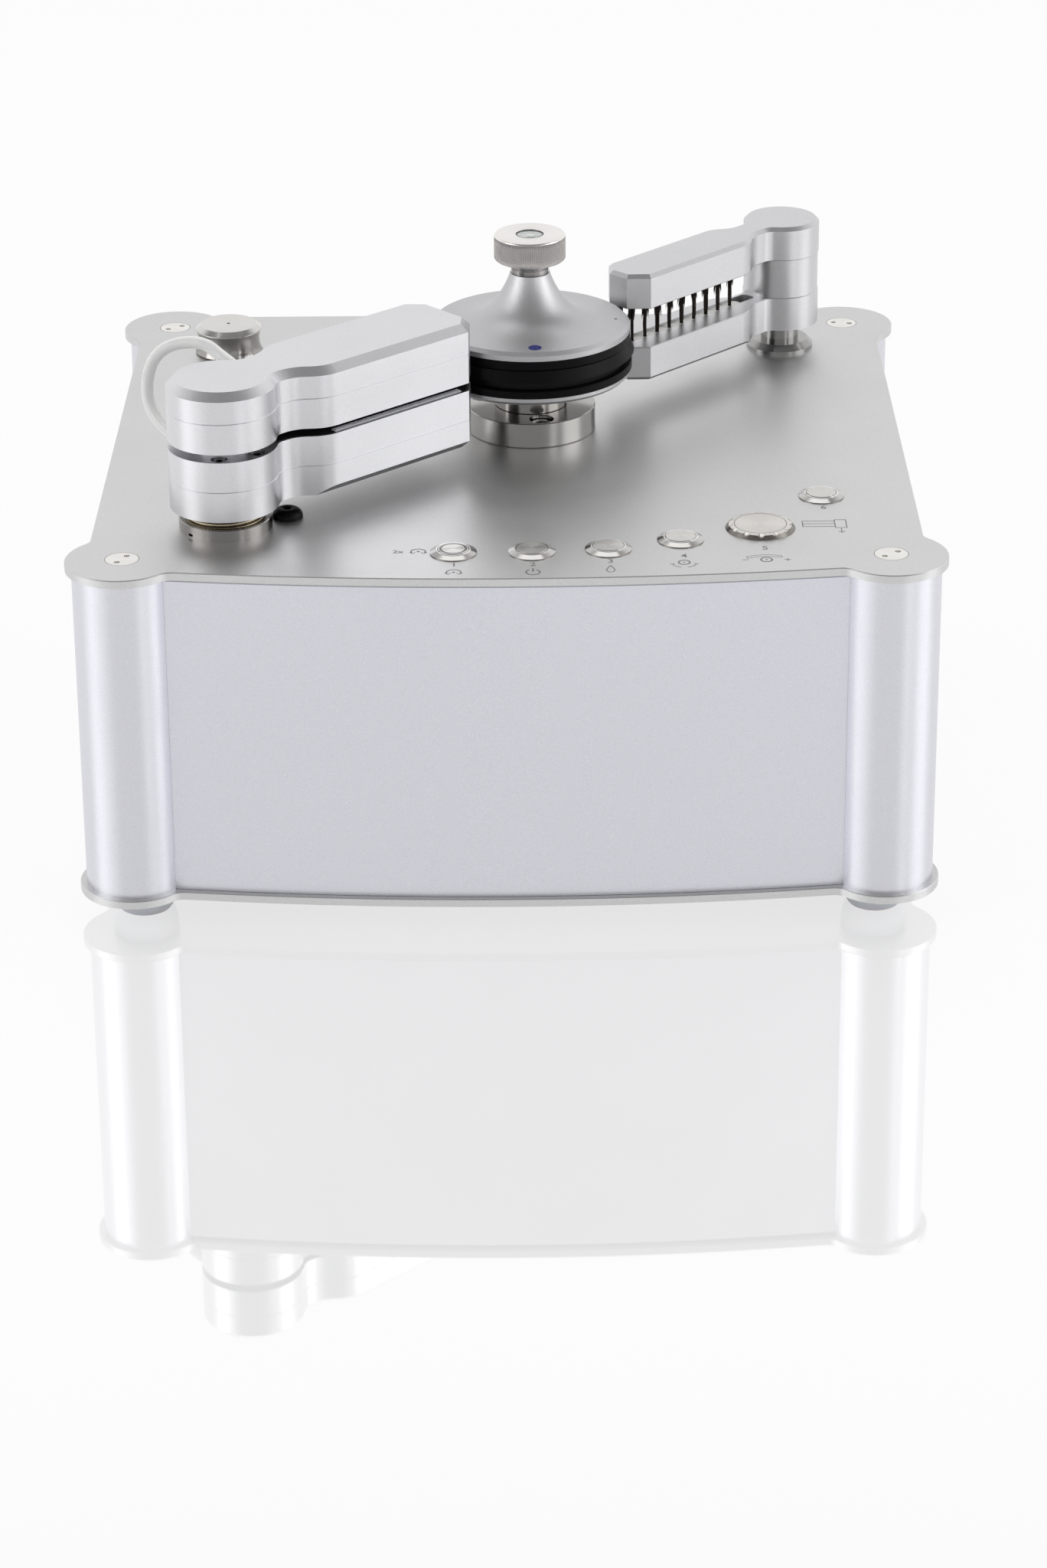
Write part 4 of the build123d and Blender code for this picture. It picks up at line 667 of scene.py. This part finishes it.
mouldedFinishes = {
    "blackNitrileRubber": (
        {"colour": "#030305", "roughness": 0.4, "grain": 2, "specular": 0.12},
        "platter_seal",
        "clamp_seal",
        "grommet",
    ),
    "groundRubberPad": (
        {"colour": "#07070A", "roughness": 0.5, "grain": 1.11, "depth": 0.05, "specular": 0.2},
        "record_pad",
    ),
    "blackFeltLining": (
        {"colour": "#0B0B0D", "roughness": 0.9, "grain": 0.67, "depth": 0.1, "specular": 0.2},
        "arm_pads",
    ),
    "frostedSiliconeFoot": (
        {"colour": "#E8EBF3", "roughness": 0.4, "grain": 3.33, "depth": 0.02, "drift": 0.04, "glow": 0.3},
        "feet",
    ),
    "whiteAcetalStrip": (
        {"colour": "#FFFEFA", "roughness": 0.42, "grain": 2.5, "depth": 0.02, "drift": 0.06},
        "brush_strips",
    ),
    "blueEnamelDot": (
        {"colour": "#232C78", "roughness": 0.3, "grain": 3.33, "depth": 0.01, "drift": 0.08},
        "clamp_inlay",
    ),
    "naturalTankPlastic": (
        {"colour": "#DAD9D2", "roughness": 0.42, "grain": 4, "depth": 0.05, "drift": 0.08},
        "waste_tank",
        "clean_tank",
    ),
    "blackMouldedPlastic": (
        {"colour": "#1E1F21", "roughness": 0.45, "grain": 1.25, "depth": 0.04},
        "mains_inlet",
        "dial_body",
        "vacuum_turbine",
        "liquid_pump",
    ),
    "greenBoardLaminate": (
        {"colour": "#27583B", "roughness": 0.4, "grain": 2.86, "depth": 0.02},
        "control_board",
    ),
    "darkBeltRubber": ({"colour": "#202022", "roughness": 0.6, "depth": 0.04}, "drive_belt"),
}

dress(softOrMoulded, mouldedFinishes)
print("rubbers and plastics given")

# Knob: a turned stainless knob with straight fluting round its rim, a collar and a stem that grips the pin.
knob = {
    "flutes": 120,
    "fluteDepth": 0.3,
    "fluteColumns": 8,  # columns of the mesh across one flute
    "fluteBand": (89.9, 100.9),
    "fluteEnd": 0.3,  # height over which a flute runs out
    "rim": 17.8,
    "rimBand": (90.0, 100.8),
    "rimRows": 6,
    "rimSlack": 0.1,
    "rimDepth": 0.8,  # points this far inside the rim, or farther, aren't fluted
    "corner": 0.18,
    "profile": [
        (3.65, 60.0),
        (4.9, 60.0),
        (4.9, 82.1),
        (9.5, 82.1),
        (9.5, 84.4),
        (10.4, 87.2),
        (10.4, 88.8),
        (16.9, 88.8),
        (17.8, 89.7),
        (17.8, 101.0),
        (17.2, 101.8),
        (6.95, 101.8),
        (6.85, 95.9),
        (0.0, 95.8),
        (0.0, 75.35),
        (3.65, 75.3),
        (3.65, 60.0),
    ],
}
knobSteel = {
    "centres": [spots["spindle"]],
    "colour": "#F3F0ED",
    "roughness": 0.24,
    "stretch": 0.5,
    # Both zones are painted shade: on the fluted side of the rim and on the collar below it.
    "zones": [(17.3, 18.5, 89.8, 101.0, "#A3A09E"), (9.0, 10.6, 80, 88.9, "#A9A7A5")],
}


# Knob surface: a turned profile; in the rim's band its radius dips by the square of a half cosine at each flute.
def makeKnob(values, material):
    profile = crispProfile(values["profile"], values["corner"])
    rim = np.array([[values["rim"], height] for height in np.linspace(*values["rimBand"], values["rimRows"])])
    onRim = profile[:, 0] > values["rim"] - values["rimSlack"]
    rimTop = np.argmax(onRim & (profile[:, 1] > rim[:, 1].mean()))
    profile = np.concatenate([profile[:rimTop], rim, profile[rimTop:]])
    radius, height = profile[:, 0][:, None], profile[:, 1][:, None]
    columns = values["flutes"] * values["fluteColumns"]
    angle = np.arange(columns) * 2 * pi / values["fluteColumns"]
    low, high = values["fluteBand"]
    rise, fall = (np.clip(way / values["fluteEnd"], 0, 1) for way in (height - low, high - height))
    band = rise * fall * (radius > values["rim"] - values["rimDepth"])
    dip = band * values["fluteDepth"] * (0.5 - 0.5 * np.cos(angle)) ** 2
    share = 1 - dip / np.maximum(radius, 1)
    middle = np.array(spots["spindle"])
    points = turnedPoints(profile + (0, deckLevel), spots["spindle"], columns)
    points[0, :, :, :2] = middle + (points[0, :, :, :2] - middle) * share[:, :, None]
    piece = buildPiece("clampKnob", points, material, "clamp_grip")
    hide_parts("clamp_knob")


makeKnob(knob, turnedSteel("turnedKnobSteel", **knobSteel))
print("knob turned")

# Spring: a coil of round brass wire between the pivot ring's floor and the hub.
spring = {
    "radius": 18.3,
    "wire": 0.95,
    "turns": 3.25,
    "floor": 2.65,  # lowest and highest point above the deck
    "roof": 11.4,
    "steps": 72,  # along one turn
    "sides": 16,  # round the wire
}


# Coil: upright circles of the wire's radius about the points of a helix; each end closes at its middle.
def makeSpring(values, material):
    along = np.linspace(0, 1, int(values["turns"] * values["steps"]))
    angle = 2 * pi * values["turns"] * along
    low, high = values["floor"] + values["wire"], values["roof"] - values["wire"]
    height = deckLevel + low + (high - low) * along
    girth = np.arange(values["sides"]) * 2 * pi / values["sides"]
    radius = values["radius"] + values["wire"] * np.cos(girth)
    x = spots["vacuum"][0] + radius * np.cos(angle)[:, None]
    y = spots["vacuum"][1] + radius * np.sin(angle)[:, None]
    z = height[:, None] + values["wire"] * np.sin(girth)
    points = closeEnds(np.stack([x, y, z], axis=-1))[None]
    piece = buildPiece("armSpring", points, material, None)
    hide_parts("arm_spring")
    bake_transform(piece)


makeSpring(spring, drawnMetal("springBrass", "#A99E89", 0.26))
print("spring coiled")

# Bristles: two facing rows of tufts of stiff dark hair, tied thin above the lower plate and frayed below the upper.
tufts = {
    "first": 38.4,  # from the post's axis to the first tuft
    "pitch": 9.4,
    "count": 10,
    "aside": -2.0,
    "turn": 226.0,  # degrees: the way the brush arm points
    "lean": 0.5,
    "hairs": 52,  # in one tuft
    "hair": 0.18,
    "taper": [0.9, 1, 1, 1, 0.95, 0.85, 0.0],  # shares of the hair's thickness, from its root to its tip
    "curl": 0.14,
    "waves": 5,  # radians of a sine along the hair
    "lower": {"root": 31.0, "tip": 52.0, "bundle": (0.1, 0.85), "spread": 0.35, "sway": 0.5, "shortest": 0.74},
    "upper": {"root": 54.5, "tip": 39.0, "bundle": (0.6, 1.9), "spread": 0.7, "sway": 2.2, "shortest": 0.6},
}


# Each hair is a thin tube along a path that spreads from its root with the square of its length and curls as a sine.
def makeHairs(name, middle, lean, row, values, material):
    count = len(middle)
    along = np.linspace(0, 1, len(values["taper"]))
    turn = chance.uniform(0, 2 * pi, count)
    outward = np.stack([np.cos(turn), np.sin(turn)], axis=-1)
    start = outward * chance.uniform(*row["bundle"], (count, 1))
    drift = outward * chance.uniform(0, row["spread"], (count, 1)) + lean * row["sway"]
    curl = chance.normal(0, values["curl"], (count, 2))
    share = chance.uniform(row["shortest"], 1.0, count)[:, None] * along
    flat = middle[:, None] + start[:, None] + drift[:, None] * (share**2)[..., None]
    flat = flat + curl[:, None] * np.sin(share * values["waves"])[..., None]
    high = deckLevel + row["root"] + (row["tip"] - row["root"]) * share
    path = np.concatenate([flat, high[..., None]], axis=-1)
    angle = np.arange(4) * pi / 2  # four sides
    girth = values["hair"] * np.array(values["taper"])[None, :, None]
    ring = np.stack([np.cos(angle), np.sin(angle), 0 * angle], axis=-1)
    points = path[:, :, None, :] + girth[..., None] * ring
    base = path[:, :1, None, :] + 0 * ring
    points = np.concatenate([base, points], axis=1)
    piece = buildPiece(name, points, material, "brush_arm", weld=0.0001)
    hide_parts("brush_tufts")


def makeTufts(values, material):
    out = values["first"] + np.arange(values["count"]) * values["pitch"]
    x, y = besideArm(spots["brush"], radians(values["turn"]), out, values["aside"])
    middle = np.repeat(np.stack([x, y], axis=-1), values["hairs"], axis=0)
    lean = np.repeat(chance.normal(0, values["lean"], (values["count"], 2)), values["hairs"], axis=0)
    makeHairs("lowerTufts", middle, lean, values["lower"], values, material)
    makeHairs("upperTufts", middle, lean, values["upper"], values, material)


# Black horsehair: fine dark hair with a dry sheen and a little brown in it.
horsehair = mottled("blackHorsehair", "#100B09", "#33261F", 1.11, {"Roughness": 0.5, "Specular IOR Level": 0.3})
makeTufts(tufts, horsehair)
print("tufts planted")

# Pile strips: silver-grey velvet on both faces of the gap, standing proud of the lining.
pile = {
    "start": 49.0,  # both ends from the pivot's axis
    "end": 129.5,
    "middle": -23.0,
    "width": 3.4,
    "turn": 42.6,  # degrees: the way the vacuum arm points
    "tuft": 0.3,
    "columns": 13,
    "crown": 0.35,  # share of the height that the long edges fall
    "fuzz": 0.28,
    "taper": 0.6,  # length over which the pile rises at each end, from the share below
    "endHeight": 0.35,
    "lower": {"floor": 41.5, "way": 1, "height": 0.9},
    "upper": {"floor": 45.5, "way": -1, "height": 0.45},
}


# A block whose top is rounded across its width and ruffled by a small random height at every grid point.
def makePile(name, side, values, material):
    rows = int((values["end"] - values["start"]) / values["tuft"])
    across = np.linspace(-1, 1, values["columns"])
    u = np.linspace(values["start"], values["end"], rows)
    v = values["middle"] + across * values["width"] / 2
    crown = side["height"] * (1 - values["crown"] * across**4)
    fuzz = chance.uniform(-values["fuzz"], 0.0, (rows, len(across)))
    inward = np.minimum(u - values["start"], values["end"] - u)
    top = (crown + fuzz) * np.clip(inward / values["taper"], values["endHeight"], 1)[:, None]
    grid = np.stack([u[:, None] + 0 * v, v + 0 * u[:, None], top], axis=-1)
    foot = grid[:, ::-1] * np.array([1, 1, 0])
    loop = np.concatenate([grid, foot], axis=1)
    close = loop.copy()
    close[..., 1] = values["middle"]
    close[..., 2] = side["height"] / 2
    loop = np.concatenate([close[:1], loop, close[-1:]], axis=0)
    x, y = besideArm(spots["vacuum"], radians(values["turn"]), loop[..., 0], loop[..., 1])
    z = deckLevel + side["floor"] + side["way"] * loop[..., 2]
    points = np.stack([x, y, z], axis=-1)[None]
    piece = buildPiece(name, points, material, "vacuum_arm", smooth=False, weld=0.0005)
    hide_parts("arm_piles")


# Velvet pile: short upright nylon fibres that catch the light along their tips.
velvetLook = {"Roughness": 0.85, "Sheen Weight": 0.6, "Sheen Roughness": 0.4}
velvet = mottled("greyNylonVelvet", "#9C9CA2", "#E6E6EA", 0.385, velvetLook)
makePile("lowerPile", pile["lower"], pile, velvet)
makePile("upperPile", pile["upper"], pile, velvet)
print("pile laid")

# Signs on the deck: plain numbers and generic signs, laser-marked into the oxide. Places and sizes in millimetres.
signs = {
    "lift": 0.03,
    "sink": 0.05,
    "fine": 0.55,
    "plain": 0.7,
    "bold": 0.85,
    "swell": 0.07,  # how much fatter than its font a number is drawn
    "digit": 6.2,
    "smallDigit": 5.2,
    "autoNumber": (-24.5, -173.9),
    "powerNumber": (12.3, -174.1),
    "liquidNumber": (48.5, -170.8),
    "platterNumber": (83.0, -164.9),
    "speedNumber": (121.4, -156.0),
    "vacuumNumber": (152.2, -105.0),
    "twiceNumber": (-51.0, -157.6),
}

# Laser marking: the burnt oxide is a matt mid grey.
marking = mottled("laserMarkedOxide", "#7B7B7B", "#8E8E8D", 0.4, {"Roughness": 0.55, "Metallic": 0.3})


# Stroke: a ribbon of even width and thickness along a flat path; its edges are the path moved half the width along
# its normal, and an open ribbon closes at its ends.
def strokeSign(name, path, width, closed=False):
    path = np.array(path, float)
    ahead = np.roll(path, -1, 0) - np.roll(path, 1, 0) if closed else np.gradient(path, axis=0)
    ahead /= np.hypot(ahead[:, 0], ahead[:, 1])[:, None]
    normal = np.stack([-ahead[:, 1], ahead[:, 0]], axis=-1) * width / 2
    if closed:
        path, normal = np.vstack([path, path[:1]]), np.vstack([normal, normal[:1]])
    flat = np.stack([path + normal, path - normal, path - normal, path + normal], axis=1)
    top = deckLevel + signs["lift"]
    low = top - signs["sink"]
    level = np.broadcast_to(np.array([top, top, low, low])[:, None], (*flat.shape[:2], 1))
    points = np.concatenate([flat, level], axis=-1)
    if not closed:
        points = closeEnds(points)
    buildPiece(name, points[None], marking, "chassis", smooth=False, weld=0.0001)


def arc(radius, start, end, count=48, centre=(0, 0)):  # angles in degrees
    angle = np.radians(np.linspace(start, end, count))
    return np.stack([centre[0] + radius * np.cos(angle), centre[1] + radius * np.sin(angle)], axis=-1)


def strokesAt(place, strokes):  # strokes are (name, path from the sign's middle, width, closed or not)
    for name, path, width, closed in strokes:
        strokeSign(name, np.array(path, float) + place, width, closed)


def markNumber(name, spot, text, size):
    data = bpy.data.curves.new(name, "FONT")
    data.body = text
    data.size = size * millimetre
    data.extrude = signs["sink"] / 2 * millimetre
    data.offset = signs["swell"] * millimetre
    data.align_x = "CENTER"
    data.align_y = "CENTER"
    letter = bpy.data.objects.new(name, data)
    scene.collection.objects.link(letter)
    bpy.context.view_layer.update()
    mesh = bpy.data.meshes.new_from_object(letter)
    bpy.data.objects.remove(letter)
    height = deckTop + (signs["lift"] - signs["sink"] / 2) * millimetre
    mesh.transform(Matrix.Translation((spot[0] * millimetre, spot[1] * millimetre, height)))
    mesh.materials.clear()
    mesh.materials.append(marking)
    piece = bpy.data.objects.new(name, mesh)
    scene.collection.objects.link(piece)
    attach(piece, "chassis")


for index, key in enumerate(("auto", "power", "liquid", "platter", "speed", "vacuum")):
    markNumber(f"{key}Number", signs[f"{key}Number"], str(index + 1), signs["digit"])
markNumber("twiceNumber", signs["twiceNumber"], "2x", signs["smallDigit"])
fine, plain, bold = signs["fine"], signs["plain"], signs["bold"]
ring, pin = (0, 354), (0, 350, 12)  # rounds that their closing stroke completes: degrees, then how many points

# Washing, once round and twice round: an open ring with a dot in it, whose ends turn back as arrows.
cycle = {
    "places": {"autoSign": (-24.5, -183.2), "twiceSign": (-41.5, -157.6)},
    "radius": 3.4,
    "arc": (-28, 208),
    "barb": np.array([(4.1, -0.6), (2.5, -2.2), (1.5, -0.7)]),
    "dot": (0.35, 0, 345, 16, (0, 0.2)),
}
for key, place in cycle["places"].items():
    strokesAt(
        place,
        [
            (f"{key}Ring", arc(cycle["radius"], *cycle["arc"]), plain, False),
            (f"{key}Left", cycle["barb"] * (-1, 1), fine, False),
            (f"{key}Right", cycle["barb"], fine, False),
            (f"{key}Dot", arc(*cycle["dot"]), plain, True),
        ],
    )

# Power: a ring open at its top with a bar in the opening.
power = {"place": (12.3, -183.4), "radius": 3.2, "arc": (122, 418), "bar": [(0, 0.6), (0, 4.6)]}
strokesAt(
    power["place"],
    [
        ("powerRing", arc(power["radius"], *power["arc"]), bold, False),
        ("powerBar", power["bar"], bold, False),
    ],
)

# Liquid: a drop, whose half width is the sine of the way round times a power of how far down it is.
drop = {"place": (48.4, -180.0), "halfWidth": 2.5, "halfHeight": 3.9, "waist": 0.6, "stroke": 0.6, "points": 60}
side = np.linspace(0, 2 * pi, drop["points"], endpoint=False)
belly = np.sin(side) * (0.5 - 0.5 * np.cos(side)) ** drop["waist"]
dropLine = np.stack([drop["halfWidth"] * belly, drop["halfHeight"] * np.cos(side)], axis=-1)
strokesAt(drop["place"], [("liquidDrop", dropLine, drop["stroke"], True)])

# Platter: a disc with its pin and an arrow to each side below it.
platter = {
    "place": (82.8, -172.8),
    "radius": 2.6,
    "pin": 0.25,
    "sweep": 6.0,
    "leftArc": (205, 255),
    "rightArc": (285, 335),
    "barb": np.array([(4.6, -1.2), (5.5, -2.2), (6.6, -1.4)]),
}
strokesAt(
    platter["place"],
    [
        ("platterRing", arc(platter["radius"], *ring), bold, True),
        ("platterPin", arc(platter["pin"], *pin), fine, True),
        ("platterLeft", arc(platter["sweep"], *platter["leftArc"]), fine, False),
        ("platterRight", arc(platter["sweep"], *platter["rightArc"]), fine, False),
        ("platterLeftHead", platter["barb"][::-1] * (-1, 1), fine, False),
        ("platterRightHead", platter["barb"], fine, False),
    ],
)

# Speed: a disc between less and more, under a wedge that widens from one to the other.
speed = {
    "place": (121.3, -170.2),
    "radius": 2.6,
    "pin": 0.25,
    "less": [(-11.4, 0), (-8.4, 0)],
    "more": [(8.4, 0), (11.4, 0)],
    "moreUp": [(9.9, fine / 2), (9.9, 1.5)],  # the upright is in two halves, which meet the level bar
    "moreDown": [(9.9, -1.5), (9.9, -fine / 2)],
    "wedgeMiddle": (0, -12),  # the middle of both of its arcs
    "wedgeLow": (16.0, 122, 70),
    "wedgeTip": (7.6, 3.0),
    "wedgeHigh": (18.0, 66, 121),
    "stroke": 0.4,
}
lowArc, highArc = (arc(*speed[key], centre=speed["wedgeMiddle"]) for key in ("wedgeLow", "wedgeHigh"))
wedge = np.concatenate([lowArc, [speed["wedgeTip"]], highArc])
strokesAt(
    speed["place"],
    [
        ("speedRing", arc(speed["radius"], *ring), bold, True),
        ("speedPin", arc(speed["pin"], *pin), fine, True),
        ("speedLess", speed["less"], fine, False),
        ("speedMore", speed["more"], fine, False),
        ("speedMoreUp", speed["moreUp"], fine, False),
        ("speedMoreDown", speed["moreDown"], fine, False),
        ("speedWedge", wedge, speed["stroke"], True),
    ],
)

# Suction arm: a hub, three lines to a closed end, and an arrow that points down.
suction = {
    "place": (151.6, -126.0),
    "lines": {"vacuumUpper": 3.4, "vacuumMiddle": 0.0, "vacuumLower": -3.4},
    "reach": (-10.5, 4.3),
    "end": [(-10.8, -3.7), (-10.8, 3.7)],
    "hub": (4.6, 10, -5, 5),  # left, right, low and high side
    "sidePoints": 12,
    "down": [(7.3, -6.0), (7.3, -11.0)],
    "downHead": [(5.8, -9.4), (7.3, -11.2), (8.8, -9.4)],
}
left, right, low, high = suction["hub"]
hubCorners = np.array([(left, low), (right, low), (right, high), (left, high), (left, low)], float)
hubSides = [
    np.linspace(here, there, suction["sidePoints"], endpoint=False)
    for here, there in zip(hubCorners, hubCorners[1:])
]
for name, height in suction["lines"].items():
    strokesAt(suction["place"], [(name, [(end, height) for end in suction["reach"]], fine, False)])
strokesAt(
    suction["place"],
    [
        ("vacuumEnd", suction["end"], fine, False),
        ("vacuumHub", np.concatenate(hubSides), fine, True),
        ("vacuumDown", suction["down"], fine, False),
        ("vacuumDownHead", suction["downHead"], fine, False),
    ],
)
print("deck marked")

# Bubble level: a dark rim round a pale cup, a bubble, and a domed lens over both.
vial = {
    "rim": [(6.8, 100.9), (6.8, 101.6), (6.7, 101.8), (6.5, 101.8), (6.4, 101.6), (6.4, 100.9), (6.8, 100.9)],
    "cup": [(0.0, 95.8), (6.8, 95.8), (6.8, 100.9), (6.4, 100.9), (6.0, 100.2), (0.0, 99.9)],
    "lens": [
        (0.0, 101.1),
        (6.25, 101.1),
        (6.4, 101.2),
        (6.4, 101.4),
        (6.25, 101.55),
        (4.0, 101.75),
        (0.0, 101.8),
    ],
    "corner": 0.06,
    "columns": 72,
    "bubble": {"radius": 2.3, "height": 100.5, "thick": 0.4, "rows": 17, "columns": 36},
    "aside": (0.6, 1.5),  # how far the bubble stands from the middle
}


# Clear acrylic lens: polished, and thin enough to pass nearly all the light.
def lensAcrylic():
    material, tree = newMaterial("clearAcrylicLens")
    place = addNode(tree, "ShaderNodeTexCoord")
    wave = addNode(
        tree,
        "ShaderNodeTexNoise",
        {"Scale": 1 / (11 * millimetre), "Detail": 1},
        {"Vector": place.outputs["Object"]},
    )
    dent = addNode(
        tree,
        "ShaderNodeBump",
        {"Strength": 0.05, "Distance": 0.3 * millimetre},
        {"Height": wave.outputs[0]},
    )
    shader = addNode(
        tree,
        "ShaderNodeBsdfPrincipled",
        {"Base Color": toLinear("#E9F1EE"), "Roughness": 0.03, "IOR": 1.49, "Alpha": 0.16},
        {"Normal": dent.outputs[0]},
    )
    finishMaterial(tree, shader)
    return material


# Turned pieces of the level, and a bubble that is an oval turned about its own upright axis.
def makeVial(values):
    finishes = {
        "rim": softOrMoulded("darkVialRim", "#3A3634", 0.3, grain=2.5, depth=0.01),
        "cup": softOrMoulded("paleVialCup", "#FBFCFB", 0.3, grain=3.33, depth=0.01, drift=0.04),
        "lens": lensAcrylic(),
        "bubble": softOrMoulded("paleBubble", "#F6F8F7", 0.12, grain=5, depth=0.005, drift=0.03),
    }
    surfaces = {
        name: turnedPoints(
            crispProfile(values[name], values["corner"]) + (0, deckLevel), spots["spindle"], values["columns"]
        )
        for name in ("rim", "cup", "lens")
    }
    bubble = values["bubble"]
    side = np.linspace(0, pi, bubble["rows"])
    height = deckLevel + bubble["height"] - bubble["thick"] * np.cos(side)
    oval = np.stack([bubble["radius"] * np.sin(side), height], axis=-1)
    spot = np.array(spots["spindle"]) + values["aside"]
    surfaces["bubble"] = turnedPoints(oval, spot, bubble["columns"])
    for name, surface in surfaces.items():
        piece = buildPiece(f"{name}OfVial", surface, finishes[name], "clamp_grip")
        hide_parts("bubble_level")


makeVial(vial)
print("bubble level set")

# Lights, floor and surroundings. Places are in metres.
studio = {
    "floor": "#FFFFFF",
    "floorReach": 9,
    "whiteShare": 0.84,  # share of the floor that shows plain white instead of taking light and shadow
    "floorRoughness": 0.02,
    "mirror": 3.0,  # refractive index that sets how much the floor mirrors
    "sky": 1.0,
    "ceiling": 0.26,
    "bandFront": (0.22, 0.56),  # sines of the heights between which the sky falls off, in front
    "bandRear": (0.5, 0.98),
    "turn": (-0.6, 0.7),  # how far to the rear the one band turns into the other
}
lamps = {
    "leftSoftbox": {"place": (-2.75, -1.0, 1.5), "aim": (0, 0, 0.12), "size": (1.8, 2.2), "watts": 22},
    "rightSoftbox": {"place": (2.8, -0.6, 1.5), "aim": (0, 0, 0.12), "size": (2.0, 2.2), "watts": 24},
    "leftStrip": {"place": (-1.9, -2.0, 1.0), "aim": (0, 0, 0.15), "size": (0.35, 1.6), "watts": 2.5},
    "rightStrip": {"place": (1.8, -2.1, 1.0), "aim": (0, 0, 0.15), "size": (0.45, 1.6), "watts": 4},
    "topSoftbox": {"place": (-0.3, 0.9, 2.8), "aim": (0, 0, 0.15), "size": (2.4, 1.4), "watts": 14},
}


# Sky: white at the horizon and grey overhead; each band's place goes smoothly from its front to its rear value.
def lightSky(values):
    world = bpy.data.worlds.new("studio")
    scene.world = world
    world.use_nodes = True
    tree = world.node_tree
    tree.nodes.clear()
    place = addNode(tree, "ShaderNodeTexCoord")
    parts = addNode(tree, "ShaderNodeSeparateXYZ", links={"Vector": place.outputs["Generated"]})
    rear = addNode(
        tree,
        "ShaderNodeMapRange",
        {"From Min": values["turn"][0], "From Max": values["turn"][1]},
        {"Value": parts.outputs["Y"]},
        interpolation_type="SMOOTHSTEP",
    )
    low, high = (
        addNode(
            tree,
            "ShaderNodeMapRange",
            {"To Min": values["bandFront"][i], "To Max": values["bandRear"][i]},
            {"Value": rear.outputs[0]},
        )
        for i in (0, 1)
    )
    level = addNode(
        tree,
        "ShaderNodeMapRange",
        {"To Min": values["sky"], "To Max": values["ceiling"]},
        {"Value": parts.outputs["Z"], "From Min": low.outputs[0], "From Max": high.outputs[0]},
        interpolation_type="SMOOTHSTEP",
    )
    sky = addNode(tree, "ShaderNodeBackground", {"Color": (1, 1, 1, 1)}, {"Strength": level.outputs[0]})
    addNode(tree, "ShaderNodeOutputWorld", links={"Surface": sky.outputs[0]})


def hangLamp(name, values):
    data = bpy.data.lights.new(name, "AREA")
    data.shape = "RECTANGLE"
    data.size, data.size_y = values["size"]
    data.energy = values["watts"]
    light = bpy.data.objects.new(name, data)
    light.location = values["place"]
    towards = Vector(values["aim"]) - Vector(values["place"])
    light.rotation_euler = towards.to_track_quat("-Z", "Y").to_euler()
    scene.collection.objects.link(light)


# Glossy white acrylic floor: it shows white, keeps the shadow and mirrors the machine faintly.
def layFloor(values):
    material, tree = newMaterial("whiteAcrylicFloor")
    rays = addNode(tree, "ShaderNodeLightPath")
    seen = addNode(
        tree,
        "ShaderNodeMath",
        links={0: rays.outputs["Is Camera Ray"], 1: rays.outputs["Is Glossy Ray"]},
        operation="MAXIMUM",
    )
    clear = addNode(
        tree,
        "ShaderNodeMath",
        links={0: seen.outputs[0], 1: rays.outputs["Is Transmission Ray"]},
        operation="MAXIMUM",
    )
    white = addNode(
        tree, "ShaderNodeEmission", {"Color": toLinear(values["floor"])}, {"Strength": clear.outputs[0]}
    )
    matt = addNode(tree, "ShaderNodeBsdfDiffuse", {"Color": toLinear(values["floor"])})
    base = addNode(
        tree, "ShaderNodeMixShader", {"Fac": values["whiteShare"]}, {1: matt.outputs[0], 2: white.outputs[0]}
    )
    polish = {"Color": (1, 1, 1, 1), "Roughness": values["floorRoughness"]}
    gloss = addNode(tree, "ShaderNodeBsdfGlossy", polish)
    share = addNode(tree, "ShaderNodeFresnel", {"IOR": values["mirror"]})
    both = addNode(
        tree, "ShaderNodeMixShader", links={"Fac": share.outputs[0], 1: base.outputs[0], 2: gloss.outputs[0]}
    )
    finishMaterial(tree, both)
    mesh = bpy.data.meshes.new("floor")
    reach = values["floorReach"]
    corners = [(-reach, -reach, 0), (reach, -reach, 0), (reach, reach, 0), (-reach, reach, 0)]
    mesh.from_pydata(corners, [], [(0, 1, 2, 3)])
    mesh.materials.append(material)
    floor = bpy.data.objects.new("floor", mesh)
    scene.collection.objects.link(floor)


lightSky(studio)
layFloor(studio)
for name, lamp in lamps.items():
    hangLamp(name, lamp)
scene.view_settings.view_transform = "Standard"
print("studio lit")
